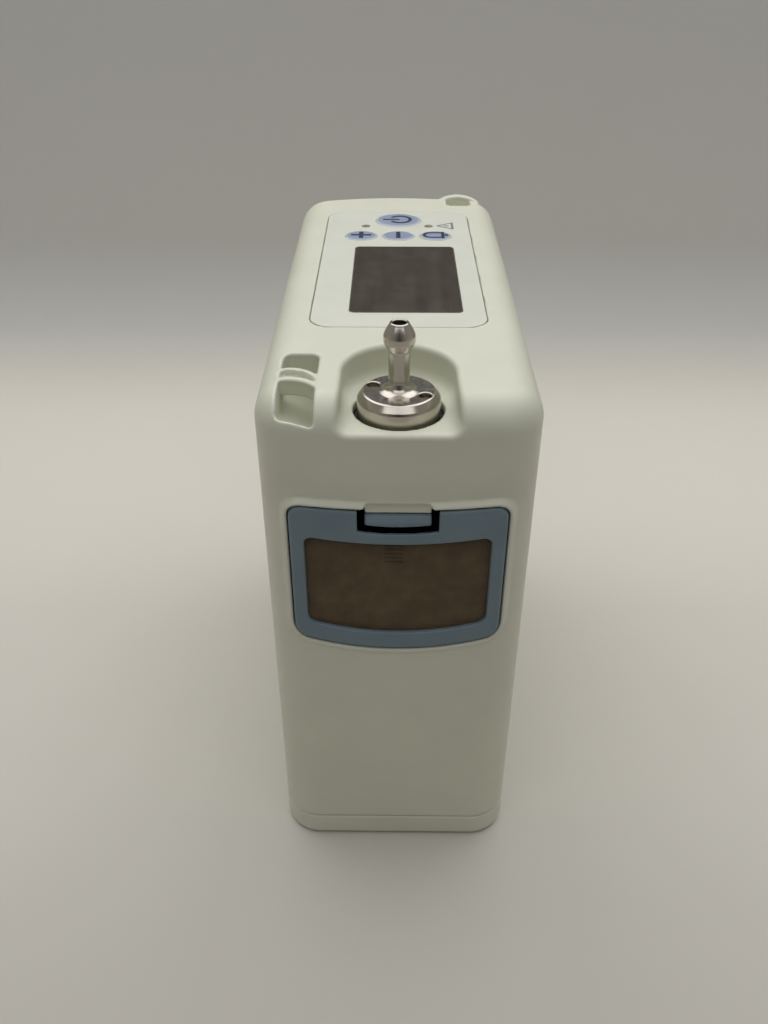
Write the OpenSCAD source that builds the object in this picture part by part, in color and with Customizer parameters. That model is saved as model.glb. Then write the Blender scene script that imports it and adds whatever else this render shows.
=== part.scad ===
// Portable oxygen concentrator, seen from the narrow end that carries the outlet and the air filter.
// X runs across the narrow body, -Y is the filter end, +Z is up.
// The origin is the middle of the footprint, on the surface that the feet rest on.

/* [Body] */
// Width of the body across its narrow way
body_w = 68; // [62:1:76]
// Length of the body from the filter face to the middle of the back
body_l = 160; // [156:1:176]
// Height of the top surface where it meets the filter face
body_h = 150; // [148:1:165]
// How much higher the top is at the back than at the filter face
top_rise = 6; // [0:0.5:8]
// Radius of the upright corners, seen from above
corner_r = 11; // [9:0.5:13]
// Radius of the soft edge round the top
top_r = 8; // [6:0.5:8.5]
// How far the back bulges past its corners
back_bow = 6; // [3:0.5:8]
// Thickness of the housing's side walls
wall = 2.4; // [2:0.1:2.8]
// Thickness of the housing's top
top_wall = 3.4; // [3:0.1:4]
// Height of the joint between the battery pack and the housing
seam_z = 8.6; // [7.5:0.1:9.5]
// Width of the open joint between the battery pack and the housing
seam_gap = 0.4; // [0.2:0.1:0.6]

/* [Control panel] */
// Width of the control panel
panel_w = 46.6; // [44:0.2:50]
// Distance from the back edge of the panel to the middle of the back
panel_back = 23; // [21:0.5:26]
// Distance from the filter face to the front edge of the panel
panel_s = 42; // [41:0.5:43]
// Thickness of the panel
panel_t = 1.5; // [1.2:0.1:1.8]
// Corner radius of the panel
panel_r = 5; // [3:0.5:7]
// Gap between the panel and the housing
panel_gap = 0.35; // [0.2:0.05:0.5]
// Width of the display window
display_w = 30.6; // [28:0.2:31]
// Distance from the front edge of the panel to the display window
display_front = 9; // [7:0.2:12]
// Distance from the display window to the three small keys
display_keys = 5.4; // [4.6:0.2:9]
// Sideways offset of the display window
display_x = 2; // [0:0.2:2.4]
// Width of the power key
power_key_w = 15.2; // [13:0.2:16]
// Length of the power key
power_key_l = 13.8; // [12:0.2:14.4]
// Distance from the middle of the power key to the back edge of the panel
power_key_back = 8.8; // [8.4:0.1:9.4]
// Width of the three small keys
small_key_w = 10.3; // [9:0.1:10.4]
// Length of the three small keys
small_key_l = 9; // [8:0.1:9.4]
// Distance from the row of small keys to the back edge of the panel
small_key_back = 24.5; // [24:0.1:26]
// Distance between neighbouring small keys
key_pitch = 12; // [11.9:0.1:12.5]
// How far a key travels when it is pressed
key_travel = 0.5; // [0.3:0.05:0.6]
// How far the keys stand above the panel
key_proud = 0.3; // [0.1:0.05:0.6]
// Radius of the two indicator lights
lamp_r = 1.3; // [1:0.1:1.5]

/* [Gas outlet] */
// Distance from the filter face to the axis of the outlet
outlet_s = 13.8; // [13.4:0.1:14.4]
// Depth of the outlet recess below the top edge
recess_depth = 7.6; // [7:0.1:8.2]
// Half the width of the outlet recess
recess_half_w = 13.6; // [12.8:0.1:14]
// Distance from the filter face to the centre of the round back of the recess
recess_s = 17.9; // [17:0.1:19]
// Radius of the soft edge round the floor of the recess
recess_fillet = 3; // [1:0.5:4]
// Radius of the hole in the recess floor
outlet_hole_r = 11; // [10.6:0.1:11.4]
// Radius of the metal flange
flange_r = 10; // [9.4:0.1:10.2]
// Height of the flange's side above the recess floor
flange_side = 3; // [2.4:0.1:3.6]
// Height of the chamfer on the flange
flange_chamfer = 1.8; // [1.2:0.1:2]
// Radius of the stem
stem_r = 2.5; // [2.2:0.1:2.8]
// Radius of the soft foot of the stem
stem_fillet = 2.7; // [1.5:0.1:3]
// Largest radius of the barb
barb_r = 3.75; // [3.3:0.05:4]
// Radius of the tip
tip_r = 2.25; // [2.1:0.05:2.4]
// Radius of the gas passage
gas_r = 1.6; // [1.2:0.1:1.8]
// Height of the tip above the recess floor
tip_h = 21.6; // [20.5:0.1:23]
// Radius of the two spanner holes in the flange
spanner_r = 1.5; // [1.2:0.1:1.7]
// Distance of the spanner holes from the axis
spanner_at = 6.8; // [6.4:0.1:7]
// Radius of the part of the fitting that goes down into the socket
shank_r = 5.9; // [5:0.1:6.2]

/* [Strap lugs] */
// Sideways place of the centre that the front strap bar curves round
front_lug_x = -25.5; // [-26:0.1:-25]
// Distance of that centre from the filter face
front_lug_s = 4.2; // [3.6:0.1:4.8]
// Inner radius of the front strap bar
front_bar_r = 10.2; // [9.8:0.1:10.6]
// Width of the front strap bar
front_bar_w = 4.3; // [3.6:0.1:4.6]
// Sideways place of the centre that the rear strap bar curves round
rear_lug_x = 21.4; // [20.8:0.1:22]
// Distance of that centre from the middle of the back
rear_lug_back = 13.7; // [13.2:0.1:14.2]
// Inner radius of the rear strap bar
rear_bar_r = 6.2; // [5.8:0.1:6.6]
// Width of the rear strap bar
rear_bar_w = 3.2; // [2.8:0.1:3.6]
// Thickness of the strap bars
bar_t = 3; // [2.4:0.1:3.4]
// Width of the groove along the front strap bar
bar_groove = 1.3; // [0.8:0.1:1.6]

/* [Air filter] */
// Width of the filter frame
frame_w = 53; // [50:0.5:54]
// Height of the filter frame from its lowest point to its upper corners
frame_h = 45.5; // [44:0.1:46.5]
// Distance from the top edge down to the upper corners of the filter frame
frame_drop = 25.8; // [24.5:0.1:27]
// How far the frame's top edge dips in the middle
frame_dip = 1.8; // [1:0.1:2.2]
// How far the frame's lower edge bulges in the middle
frame_belly = 5; // [3:0.1:6]
// How far the frame stands out of the filter face
frame_proud = 0.8; // [0.4:0.1:1.2]
// Depth of the frame's seat in the filter face
frame_seat = 3.2; // [2.8:0.1:3.4]
// Gap round the frame
frame_gap = 0.35; // [0.2:0.05:0.5]
// Width of the frame's side members
frame_side = 3.6; // [3:0.1:4]
// Height of the frame's upper member in the middle
frame_upper = 9.6; // [9.2:0.1:10]
// Height of the frame's lower member in the middle
frame_lower = 5.4; // [4.6:0.1:6]
// Thickness of the filter screen
screen_t = 0.6; // [0.4:0.1:0.8]
// Width of the catch tab
tab_w = 16.2; // [14:0.2:17]
// Height of the catch tab
tab_h = 3.6; // [3.2:0.1:3.8]
// Open gap beside and below the catch tab
tab_gap = 1.8; // [1.7:0.1:2]
// How far the catch tab is pressed down
tab_travel = 1.5; // [1:0.1:1.6]

/* [Battery pack] */
// Diameter of a cell
cell_d = 18.4; // [18.2:0.1:18.6]
// Length of a cell
cell_l = 65.2; // [64:0.2:66]
// Wall of the battery case
case_wall = 1.4; // [1.2:0.1:1.6]
// Thickness of the bottom of the battery case
case_floor = 2; // [1.8:0.1:2.4]
// Thickness of the battery lid
lid_t = 1.8; // [1.5:0.1:2]
// How far the rubber feet stand out of the base
foot_proud = 0.6; // [0.4:0.1:1]
// Radius of the rubber feet
foot_r = 5; // [4:0.5:6]
// Thickness of the chassis plate
plate_t = 2.4; // [2:0.1:2.8]
// Distance of the slide rails from the middle
rail_x = 14; // [12:0.5:15]
// How far the battery catch is pressed down
catch_travel = 2.5; // [2:0.1:3]

/* [Works] */
// Radius of the compressor motor
motor_r = 16.6; // [15:0.1:16.6]
// Length of the compressor motor
motor_l = 34; // [30:1:36]
// Length of each crankcase along the shaft
crank_l = 18; // [16:0.5:18]
// Radius of the shaft
shaft_r = 3; // [2.5:0.1:3.2]
// Outer radius of the shaft's ball bearings
bearing_r = 8; // [7:0.1:8.4]
// Outer radius of the compressor's cylinders
cylinder_r = 12.5; // [11:0.5:13]
// Radius of the sieve columns
column_r = 13; // [11:0.5:13.5]
// Side of the square cooling fan
fan_side = 41; // [38:0.5:42]
// Depth of the cooling fan
fan_t = 11; // [10:0.5:12]
// Number of fan blades
blades = 7; // [5:1:9]
// Radius of the product tank and the intake silencer
tank_r = 11; // [9:0.5:11.5]
// Outer radius of the soft gas tubes
tube_r = 2.4; // [2:0.1:2.6]

/* [Clearances] */
// Gap that lets neighbouring pieces go together
fit_gap = 0.3; // [0.2:0.05:0.4]
// Gap round a key in the panel
key_gap = 0.15; // [0.1:0.05:0.2]
// Radial gap of a shaft in its bearing
run_gap = 0.05; // [0.02:0.01:0.08]

/* [Hidden] */
$fn = 48;

housing_white = [0.83, 0.84, 0.77];
panel_white = [0.86, 0.86, 0.83];
key_blue = [0.66, 0.73, 0.84];
frame_blue = [0.45, 0.52, 0.60];
screen_brown = [0.24, 0.20, 0.15];
steel = [0.72, 0.70, 0.67];
dark_plastic = [0.14, 0.14, 0.15];
alloy = [0.75, 0.76, 0.78];
board_green = [0.10, 0.34, 0.20];

// Where the body's faces lie
front_y = -(body_l + frame_proud) / 2 + frame_proud;
back_y = front_y + body_l;
top_tilt = atan(top_rise / body_l);
corner_x = body_w / 2 - corner_r;
front_corner_y = front_y + corner_r;
bow_r = (body_w * body_w / 4 + back_bow * back_bow) / (2 * back_bow);
bow_y = back_y - bow_r;
back_corner_y = bow_y + sqrt(pow(bow_r - corner_r, 2) - corner_x * corner_x);
bow_angle = asin(corner_x / (bow_r - corner_r));
corner_steps = 8;
edge_steps = 8;
inner_x = body_w / 2 - wall;
housing_low = seam_z + seam_gap / 2;
case_top = seam_z - seam_gap / 2;

// Heights of the battery pack and of the chassis above it
cell_z = foot_proud + case_floor + cell_d / 2;
cell_pitch = cell_d + 0.2;
cell_step = cell_l + 0.6;
tub_x = inner_x - 2.1;
tub_in_x = tub_x - case_wall;
lid_z = cell_z + cell_d / 2 + fit_gap;
lid_top = lid_z + lid_t;
rail_neck = 1.8;
rail_head = 1.6;
rail_neck_half = 1.5;
rail_head_half = 3.5;
rail_top = lid_top + rail_neck + rail_head;
plate_z = rail_top + fit_gap;
plate_top = plate_z + plate_t;
tub_front = front_y + wall + 9.2;
tub_back = back_y - 10;
cell_start = tub_front + case_wall + 2.2;
cells_across = floor(2 * tub_in_x / cell_pitch);
cells_along = floor((tub_back - case_wall - cell_start + 0.6) / cell_step);
foot_x = body_w / 2 - 10;
foot_y = body_l / 2 - 20;
rail_l = tub_back - tub_front - 12;
rail_mid = (tub_back + tub_front) / 2 + 4;
contact_w = 28;
contact_low = case_top + fit_gap;
blade_z = contact_low + 1.2;
blade_h = 5;
blade_t = 0.8;
connector_y = tub_front - 4.4;

// Layers under the top surface, counted down from it
top_under = -top_wall;
board_n = -8;
board_t = 1.6;
dome_h = 0.6;
key_stem_r = 2.2;
key_lip = 0.4;
key_lip_t = 1;
key_lip_n = -panel_t - 0.1;
panel_end = body_l - panel_back;
panel_l = panel_end - panel_s;
power_key_s = panel_end - power_key_back;
small_key_s = panel_end - small_key_back;
display_start = panel_s + display_front;
display_l = small_key_s - small_key_l / 2 - display_keys - display_start;
display_s = display_start + display_l / 2;
board_w = panel_w + 6.4;
board_s0 = panel_s + 2;
board_s1 = panel_end + 3;
board_screw_x = board_w / 2 - 2.9;
board_screw_s = [board_s0 + 3.5, board_s1 - 3.5];

// Keys as x, s, width and length, and the two lights as x and s
key_list = [[0.2, power_key_s, power_key_w, power_key_l],
    [0.1 - key_pitch, small_key_s, small_key_w, small_key_l],
    [0.1, small_key_s, small_key_w, small_key_l],
    [0.1 + key_pitch, small_key_s, small_key_w, small_key_l]];
lamp_list = [[-10.6, small_key_s + 9.9], [10.2, small_key_s + 9.9]];

// Outlet heights
outlet_y = front_y + outlet_s;
recess_z = body_h - recess_depth;
recess_floor_t = 2.4;
socket_top = recess_z - recess_floor_t;
tip_z = recess_z + tip_h;
flange_top = recess_z + flange_side + flange_chamfer;
shank_low = socket_top - 10;
seal_r = 8.2;
seal_t = 0.75;
socket_r = 9.4;
socket_low = shank_low - 4;
port_z = shank_low + 1;
valve_front = outlet_y + socket_r + 1;

// Filter frame places
frame_top = body_h - frame_drop;
frame_low = frame_top - frame_h;
frame_front = front_y - frame_proud;
frame_back = front_y + frame_seat - 0.2;
seat_y = front_y + frame_seat;
seat_depth = 6.2;
screen_y = frame_front + 1.4;
tab_top = frame_top - frame_dip - 1;
tab_low = tab_top - tab_h;
leaf_w = 12;
notch_low = tab_low - tab_gap;
notch_half = tab_w / 2 + tab_gap;
filter_mid_z = (frame_top + frame_low) / 2;
window_half = frame_w / 2 - frame_side;
window_top = frame_top - frame_dip - frame_upper;
window_low = frame_low + frame_lower;
leaf_low = window_top + 0.6;

// Compressor places
mount_h = 4.6;
base_z = plate_top + mount_h;
base_t = 2.6;
shaft_z = base_z + base_t + motor_r + 0.5;
crank_top = shaft_z + motor_r - 1.6;
base_w = 36;
mount_x = 13.2;
cylinder_h = 16;
head_z = crank_top + cylinder_h;
head_h = 12;
crank_y = motor_l / 2 + crank_l / 2;
crank_end = crank_y + crank_l / 2;
mount_y = crank_y + 3;
bracket_in = motor_r + 2.2;
bracket_l = 2 * crank_y + 4;
bracket_t = 1.5;
bracket_z = head_z + head_h + 2.5;
manifold_z = bracket_z + bracket_t;
manifold_h = 11;
manifold_l = 2 * crank_y + 8;
manifold_w = 42;
manifold_port_z = manifold_z + manifold_h / 2;

// Sieve columns, tank and silencer
column_x = column_r + 2;
column_y = back_y - column_r - 6.4;
column_port_y = column_y - column_r - 0.6;
cradle_w = 2 * (column_x + column_r) - 2;
cradle_l = 2 * column_r;
cradle_z = plate_top + 18;
cradle_t = 3.4;
cap_h = 8;
cap_low_h = 4;
column_z = cradle_z + cradle_t + cap_low_h;
cap_z = body_h - 13.4 - cap_h;
column_l = cap_z - column_z;
valve_z = socket_top - 22;
valve_h = 16;
elbow_r = 3;
fan_y = front_y + seat_depth + fit_gap;
fan_z = filter_mid_z;
tank_x = 17;
tank_y = fan_y + fan_t + tube_r + 1.1;
tank_h = fan_z - fan_side / 2 - 5.75 - plate_top;
fan_bore_r = fan_side / 2 - 1.6;
hub_r = 8;
pin_r = 1.5;

// Back openings, chassis screws and power board
port_level = plate_top + 8.5;
jack_x = -18;
jack_r = 4.8;
socket_bore_r = 2.8;
jack_pin_r = 0.9;
usb_x = 18;
grille_w = 40;
grille_h = 58;
grille_z = plate_top + 60;
screw_r = 1.5;
boss_r = 3.2;
boss_gap = 0.2;
front_boss = [corner_x + 4.1, front_corner_y - 4.1];
rear_boss = [inner_x - 2.8, back_y - 24.4];
power_board_x = inner_x - 5.6;
power_board_l = 2 * crank_y + 12;
power_board_h = 60;
foam_t = 2.4;
foam_l = power_board_l + 14;
foam_h = power_board_h + 8;

// Battery catch in the back of the pack
catch_w = 18;
catch_h = 7;
catch_y = back_y - 4;
catch_low = plate_z - fit_gap - 1.8 - catch_h;
nose_w = 8;
nose_t = 1.6;
nose_y = catch_y + fit_gap + nose_t / 2;

// A point on the sloping top: x across, s from the filter face, n up from the surface
function on_slope(x, s, n) = [x, front_y + s * cos(top_tilt) - n * sin(top_tilt),
    body_h + s * sin(top_tilt) + n * cos(top_tilt)];

module on_top() {
    translate([0, front_y, body_h]) rotate([top_tilt, 0, 0]) children();
}

// Points of an arc round a centre, both ends included
function arc(cx, cy, r, from, to, steps) =
    [for (i = [0:steps]) let (a = from + (to - from) * i / steps) [cx + r * cos(a), cy + r * sin(a)]];

// The body's outline seen from above, drawn in by the inset
function plan(inset) = let (r = corner_r - inset) concat(
    arc(-corner_x, front_corner_y, r, 180, 270, corner_steps),
    arc(corner_x, front_corner_y, r, 270, 360, corner_steps),
    arc(corner_x, back_corner_y, r, 0, 90 - bow_angle, corner_steps),
    [for (i = [1:corner_steps - 1]) let (a = 90 - bow_angle + 2 * bow_angle * i / corner_steps)
        [(bow_r - inset) * cos(a), bow_y + (bow_r - inset) * sin(a)]],
    arc(-corner_x, back_corner_y, r, 90 + bow_angle, 180, corner_steps));

// An outline with round corners, centred on the origin
function rounded(w, l, r) = concat(
    arc(w / 2 - r, l / 2 - r, r, 0, 90, 6), arc(r - w / 2, l / 2 - r, r, 90, 180, 6),
    arc(r - w / 2, r - l / 2, r, 180, 270, 6), arc(w / 2 - r, r - l / 2, r, 270, 360, 6));

function oval(w, l) = [for (i = [0:39]) [w / 2 * cos(i * 9), l / 2 * sin(i * 9)]];

// The outlet recess seen from above: straight sides with a round back, open towards the filter face
function recess_outline(half_w) = concat([[-half_w, -2 * corner_r], [half_w, -2 * corner_r]],
    arc(0, recess_s, half_w, 0, 180, 24));

// A solid through a stack of outlines that have as many points each
module loft(rings) {
    n = len(rings[0]);
    last = len(rings) - 1;
    polyhedron(points = [for (ring = rings, p = ring) p], faces = concat(
        [[for (i = [0:n - 1]) i]],
        [for (j = [0:last - 1], i = [0:n - 1]) [j * n + i, (j + 1) * n + i, (j + 1) * n + (i + 1) % n]],
        [for (j = [0:last - 1], i = [0:n - 1]) [j * n + i, (j + 1) * n + (i + 1) % n, j * n + (i + 1) % n]],
        [[for (i = [n - 1:-1:0]) last * n + i]]));
}

// The body from a level up to its soft top edge
module body_form(inset, top_inset, z0) {
    r = top_r - inset;
    loft(concat([[for (p = plan(inset)) [p[0], p[1], z0]]], [for (i = [0:edge_steps])
        let (a = 90 * i / edge_steps, n = r * sin(a) - r - top_inset)
        [for (p = plan(inset + r * (1 - cos(a)))) on_slope(p[0], p[1] - front_y + n * tan(top_tilt), n)]]));
}

module bar_of(w, l, h, x, y, z) {
    translate([x - w / 2, y - l / 2, z]) cube([w, l, h]);
}

// A round bar along Y between two places
module along_y(r, y0, y1) {
    translate([0, y0, 0]) rotate([-90, 0, 0]) cylinder(r = r, h = y1 - y0);
}

// Face of the filter frame, seen from the front, with its middle dip, its belly and its soft corners
module frame_face(inset) {
    half = frame_w / 2 - inset;
    top_arc_r = (half * half + frame_dip * frame_dip) / (2 * frame_dip);
    low_arc_r = (half * half + frame_belly * frame_belly) / (2 * frame_belly);
    low = frame_low + inset;
    top = frame_top - inset;
    offset(r = 3.4) offset(delta = -3.4) polygon(concat(
        arc(0, low + low_arc_r, low_arc_r, -90 - asin(half / low_arc_r), -90 + asin(half / low_arc_r), 24),
        arc(0, top - frame_dip + top_arc_r, top_arc_r, -90 + asin(half / top_arc_r),
            -90 - asin(half / top_arc_r), 16)));
}

// The frame's window, grown by a margin for the screen behind it
module window_face(grow) {
    half = window_half + grow;
    dip = 2.4;
    belly = 4;
    top_arc_r = (half * half + dip * dip) / (2 * dip);
    low_arc_r = (half * half + belly * belly) / (2 * belly);
    offset(r = 2.2) offset(delta = -2.2) polygon(concat(
        arc(0, window_low - grow + low_arc_r, low_arc_r, -90 - asin(half / low_arc_r),
            -90 + asin(half / low_arc_r), 24),
        arc(0, window_top + grow + top_arc_r, top_arc_r, -90 + asin(half / top_arc_r),
            -90 - asin(half / top_arc_r), 16)));
}

// Stands a front-view outline up as a plate between two places along Y
module face_plate(y0, y1) {
    translate([0, y1, 0]) rotate([90, 0, 0]) linear_extrude(y1 - y0) children();
}

// The hollow of a strap lug, seen from above, between its side walls
module lug_plan(x0, x1, s0, s1, r) {
    translate([(x0 + x1) / 2, (s0 + s1) / 2]) polygon(rounded(x1 - x0, s1 - s0, r));
}

module front_lug_hollow(grow) {
    on_top() intersection() {
        translate([0, 0, -14]) linear_extrude(20)
            lug_plan(front_lug_x - 2.4 - grow, front_lug_x + 7.1 + grow, -9,
                front_lug_s + 21.6 + grow, 2.5 + grow);
        translate([-body_w, front_lug_s + 6.8, 7.5]) rotate([0, 90, 0]) cylinder(r = 16 + grow, h = body_w);
    }
}

module rear_lug_hollow(grow) {
    s = body_l - rear_lug_back;
    on_top() intersection() {
        translate([0, 0, -14]) linear_extrude(20)
            lug_plan(rear_lug_x - 4.1 - grow, rear_lug_x + 4.2 + grow, s - 0.3 - grow, s + 24, 2.2 + grow);
        translate([0, s + 9.7, 3.5]) rotate([0, 90, 0]) cylinder(r = 10.5 + grow, h = body_w);
    }
}

// A strap bar: part of a flat ring, as deep as the bar is thick
module strap_bar(x, s, r, w, groove) {
    on_top() translate([x, s, -bar_t]) difference() {
        cylinder(r = r + w, h = bar_t + 6);
        translate([0, 0, -1]) cylinder(r = r, h = bar_t + 8);
        if (groove > 0) translate([0, 0, bar_t - 0.8]) difference() {
            cylinder(r = r + w / 2 + groove / 2, h = 8);
            translate([0, 0, -1]) cylinder(r = r + w / 2 - groove / 2, h = 10);
        }
    }
}

// Solid that stays inside the housing: recess wall, lug walls, filter seat and screw bosses
module housing_inside() {
    translate([0, front_y, socket_top]) linear_extrude(30) polygon(recess_outline(recess_half_w + wall));
    front_lug_hollow(1.8);
    rear_lug_hollow(1.8);
    face_plate(front_y, front_y + seat_depth) frame_face(-3);
    for (x = [-1, 1]) {
        on_top() for (s = board_screw_s) translate([x * board_screw_x, s, board_n])
            cylinder(r = 3, h = 8);
        translate([x * front_boss[0], front_boss[1], plate_top + boss_gap]) cylinder(r = boss_r, h = 32);
        translate([x * rear_boss[0], rear_boss[1], plate_top + boss_gap]) cylinder(r = boss_r, h = 12);
    }
}

// Holes of the control panel in the housing's top
module panel_cuts() {
    on_top() {
        translate([0, panel_s + panel_l / 2, -panel_t]) linear_extrude(10)
            polygon(rounded(panel_w + 2 * panel_gap, panel_l + 2 * panel_gap, panel_r + panel_gap));
        translate([display_x, display_s, -10]) linear_extrude(12)
            polygon(rounded(display_w - 2.6, display_l - 2.6, 1));
        for (k = key_list) translate([k[0], k[1], -10]) linear_extrude(12)
            polygon(oval(k[2] + 2 * key_lip + 0.4, k[3] + 2 * key_lip + 0.4));
        for (k = lamp_list) translate([k[0], k[1], -10]) cylinder(r = lamp_r + 0.3, h = 12);
    }
}

// The outlet recess with its soft floor edge, and the hole for the fitting
module recess_cut() {
    translate([0, front_y, 0]) loft(concat([for (i = [0:5]) let (a = 90 * i / 5)
        [for (p = recess_outline(recess_half_w - recess_fillet * (1 - sin(a))))
            [p[0], p[1], recess_z + recess_fillet * (1 - cos(a))]]],
        [[for (p = recess_outline(recess_half_w)) [p[0], p[1], body_h + 20]]]));
    translate([0, outlet_y, socket_top - 1]) cylinder(r = outlet_hole_r, h = 12);
}

// The seat of the filter frame, the air opening behind it and the finger scoop above its catch
module filter_cuts() {
    difference() {
        face_plate(front_y - 4, seat_y) frame_face(-frame_gap);
        bar_of(tab_w, 2 * frame_seat + 8, 3, 0, front_y, tab_top + fit_gap);
    }
    face_plate(front_y, front_y + seat_depth + 1) window_face(-1.2);
    bar_of(leaf_w + 1, 5, tab_top + fit_gap - window_top + 2, 0, front_y + 2.6, window_top - 2);
    translate([-tab_w / 2 - 0.5, front_y - 2, frame_top - frame_dip + 1]) rotate([0, 90, 0])
        cylinder(r = 3, h = tab_w + 1);
}

// Openings of the back: battery bay, vent, power inlet and data port
module back_cuts() {
    bar_of(2 * (tub_x + fit_gap + 0.1), 40, plate_z - housing_low + 1, 0, back_y, housing_low - 1);
    translate([0, back_y - 12, grille_z]) rotate([-90, 0, 0]) linear_extrude(20)
        polygon(rounded(grille_w, grille_h, 4));
    translate([jack_x, 0, port_level]) along_y(jack_r + fit_gap, back_y - 12, back_y + 4);
    bar_of(9.8, 20, 4.4, usb_x, back_y - 2, port_level - 2.2);
}

// Deep shell with the outlet recess, strap lugs, filter seat and panel bed
module main_housing() {
    color(housing_white) difference() {
        body_form(0, 0, housing_low);
        difference() {
            body_form(wall, top_wall, housing_low - 1);
            housing_inside();
        }
        panel_cuts();
        recess_cut();
        difference() {
            front_lug_hollow(0);
            strap_bar(front_lug_x, front_lug_s, front_bar_r, front_bar_w, bar_groove);
        }
        difference() {
            rear_lug_hollow(0);
            strap_bar(rear_lug_x, body_l - rear_lug_back, rear_bar_r, rear_bar_w, 0);
        }
        filter_cuts();
        back_cuts();
        on_top() for (x = [-1, 1], s = board_screw_s) translate([x * board_screw_x, s, board_n - 1])
            cylinder(r = 1.05, h = 6);
        for (x = [-1, 1], b = [front_boss, rear_boss])
            translate([x * b[0], b[1], plate_top]) cylinder(r = screw_r, h = 11);
    }
}

// Plate that closes the housing above the battery, with the rails that the pack slides on
module base_chassis() {
    color(dark_plastic) difference() {
        union() {
            translate([0, 0, plate_z]) linear_extrude(plate_t) polygon(plan(wall + fit_gap));
            for (x = [-rail_x, rail_x], side = [-1, 1]) {
                wall_x = x + side * (rail_head_half + fit_gap + 0.8);
                lip_x = x + side * (rail_neck_half + fit_gap + 1.8);
                bar_of(1.6, rail_l + 2, plate_z - lid_top - fit_gap, wall_x, rail_mid, lid_top + fit_gap);
                bar_of(3.6, rail_l + 2, rail_neck - 2 * fit_gap, lip_x, rail_mid, lid_top + fit_gap);
            }
            for (y = [-1, 1]) bar_of(3.6, 4, 12, power_board_x, y * (power_board_l / 2 - 0.5), plate_top - 0.1);
        }
        for (x = [-1, 1], b = [front_boss, rear_boss])
            translate([x * b[0], b[1], plate_z - 1]) cylinder(r = screw_r + 0.2, h = plate_t + 2);
        bar_of(2.2, power_board_l + 2 * fit_gap, 14, power_board_x, 0, plate_top);
        bar_of(contact_w - 8, 2, plate_t + 2, 0, connector_y, plate_z - 1);
    }
}

module screw(r, l, head_r, head_h) {
    cylinder(r = r, h = l);
    translate([0, 0, -head_h]) difference() {
        cylinder(r = head_r, h = head_h);
        translate([0, 0, -0.1]) cylinder(r = head_r / 2, h = head_h / 2, $fn = 6);
    }
}

module chassis_screws() {
    color(steel) for (x = [-1, 1], b = [front_boss, rear_boss])
        translate([x * b[0], b[1], plate_z]) screw(screw_r - 0.1, plate_t + 10, 2.4, 2);
}

module keypad_panel() {
    color(panel_white) on_top() translate([0, 0, -panel_t]) linear_extrude(panel_t) difference() {
        translate([0, panel_s + panel_l / 2]) polygon(rounded(panel_w, panel_l, panel_r));
        translate([display_x, display_s])
            polygon(rounded(display_w + 2 * key_gap, display_l + 2 * key_gap, 1.5 + key_gap));
        for (k = key_list) translate([k[0], k[1]]) polygon(oval(k[2] + 2 * key_gap, k[3] + 2 * key_gap));
        for (k = lamp_list) translate(k) circle(lamp_r + 0.1);
    }
}

module display_window() {
    color([0.25, 0.23, 0.21]) on_top() translate([display_x, display_s, -panel_t])
        linear_extrude(panel_t) polygon(rounded(display_w, display_l, 1.5));
}

module display_module() {
    color(alloy) on_top() translate([display_x, display_s, board_n]) difference() {
        linear_extrude(top_under - fit_gap - board_n) polygon(rounded(display_w + 1, display_l + 1, 1));
        translate([0, 0, top_under - fit_gap - board_n - 0.6]) linear_extrude(1)
            polygon(rounded(display_w - 4, display_l - 4, 0.6));
    }
}

module control_board() {
    color(board_green) on_top() translate([0, 0, board_n - board_t]) difference() {
        union() {
            translate([0, (board_s0 + board_s1) / 2]) linear_extrude(board_t)
                polygon(rounded(board_w, board_s1 - board_s0, 2));
            translate([-19, 64, -2.4]) cube([12, 12, 2.4]);
            translate([-20, 92, -1.6]) cube([9, 7, 1.6]);
            translate([-6, 120, -3]) cube([14, 5, 3]);
        }
        for (x = [-1, 1], s = board_screw_s) translate([x * board_screw_x, s, -1])
            cylinder(r = 1.3, h = board_t + 2);
    }
}

module board_screws() {
    color(steel) on_top() for (x = [-1, 1], s = board_screw_s)
        translate([x * board_screw_x, s, board_n - board_t]) screw(1, board_t + 3.6, 2.1, 1.5);
}

module dome_switches() {
    color(steel) on_top() for (k = key_list) translate([k[0], k[1], board_n])
        cylinder(r1 = 3.4, r2 = 2, h = dome_h);
}

// A key: cap in the panel, lip that the panel holds down and stem that reaches for its switch
module key(k) {
    stem_low = board_n + dome_h + key_travel + 0.1;
    on_top() translate([k[0], k[1], 0]) {
        translate([0, 0, key_lip_n]) linear_extrude(key_proud - key_lip_n - 0.3) polygon(oval(k[2], k[3]));
        translate([0, 0, key_proud - 0.3]) linear_extrude(0.3) polygon(oval(k[2] - 0.5, k[3] - 0.5));
        translate([0, 0, key_lip_n - key_lip_t]) linear_extrude(key_lip_t)
            polygon(oval(k[2] + 2 * key_lip, k[3] + 2 * key_lip));
        translate([0, 0, stem_low]) cylinder(r = key_stem_r, h = key_lip_n - key_lip_t - stem_low);
    }
}

module power_button() {
    color(key_blue) key(key_list[0]);
}

module plus_button() {
    color(key_blue) key(key_list[1]);
}

module minus_button() {
    color(key_blue) key(key_list[2]);
}

module alert_button() {
    color(key_blue) key(key_list[3]);
}

module indicator_lights() {
    color([0.50, 0.42, 0.22]) on_top() for (k = lamp_list) translate([k[0], k[1], board_n]) {
        cylinder(r = lamp_r, h = -board_n);
        cylinder(r = lamp_r + 0.7, h = top_under - board_n - fit_gap);
    }
}

module buzzer() {
    color(dark_plastic) on_top() translate([16, 58, board_n - board_t - 5]) difference() {
        cylinder(r = 6, h = 5);
        translate([0, 0, -1]) cylinder(r = 1.2, h = 3);
    }
}

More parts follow.
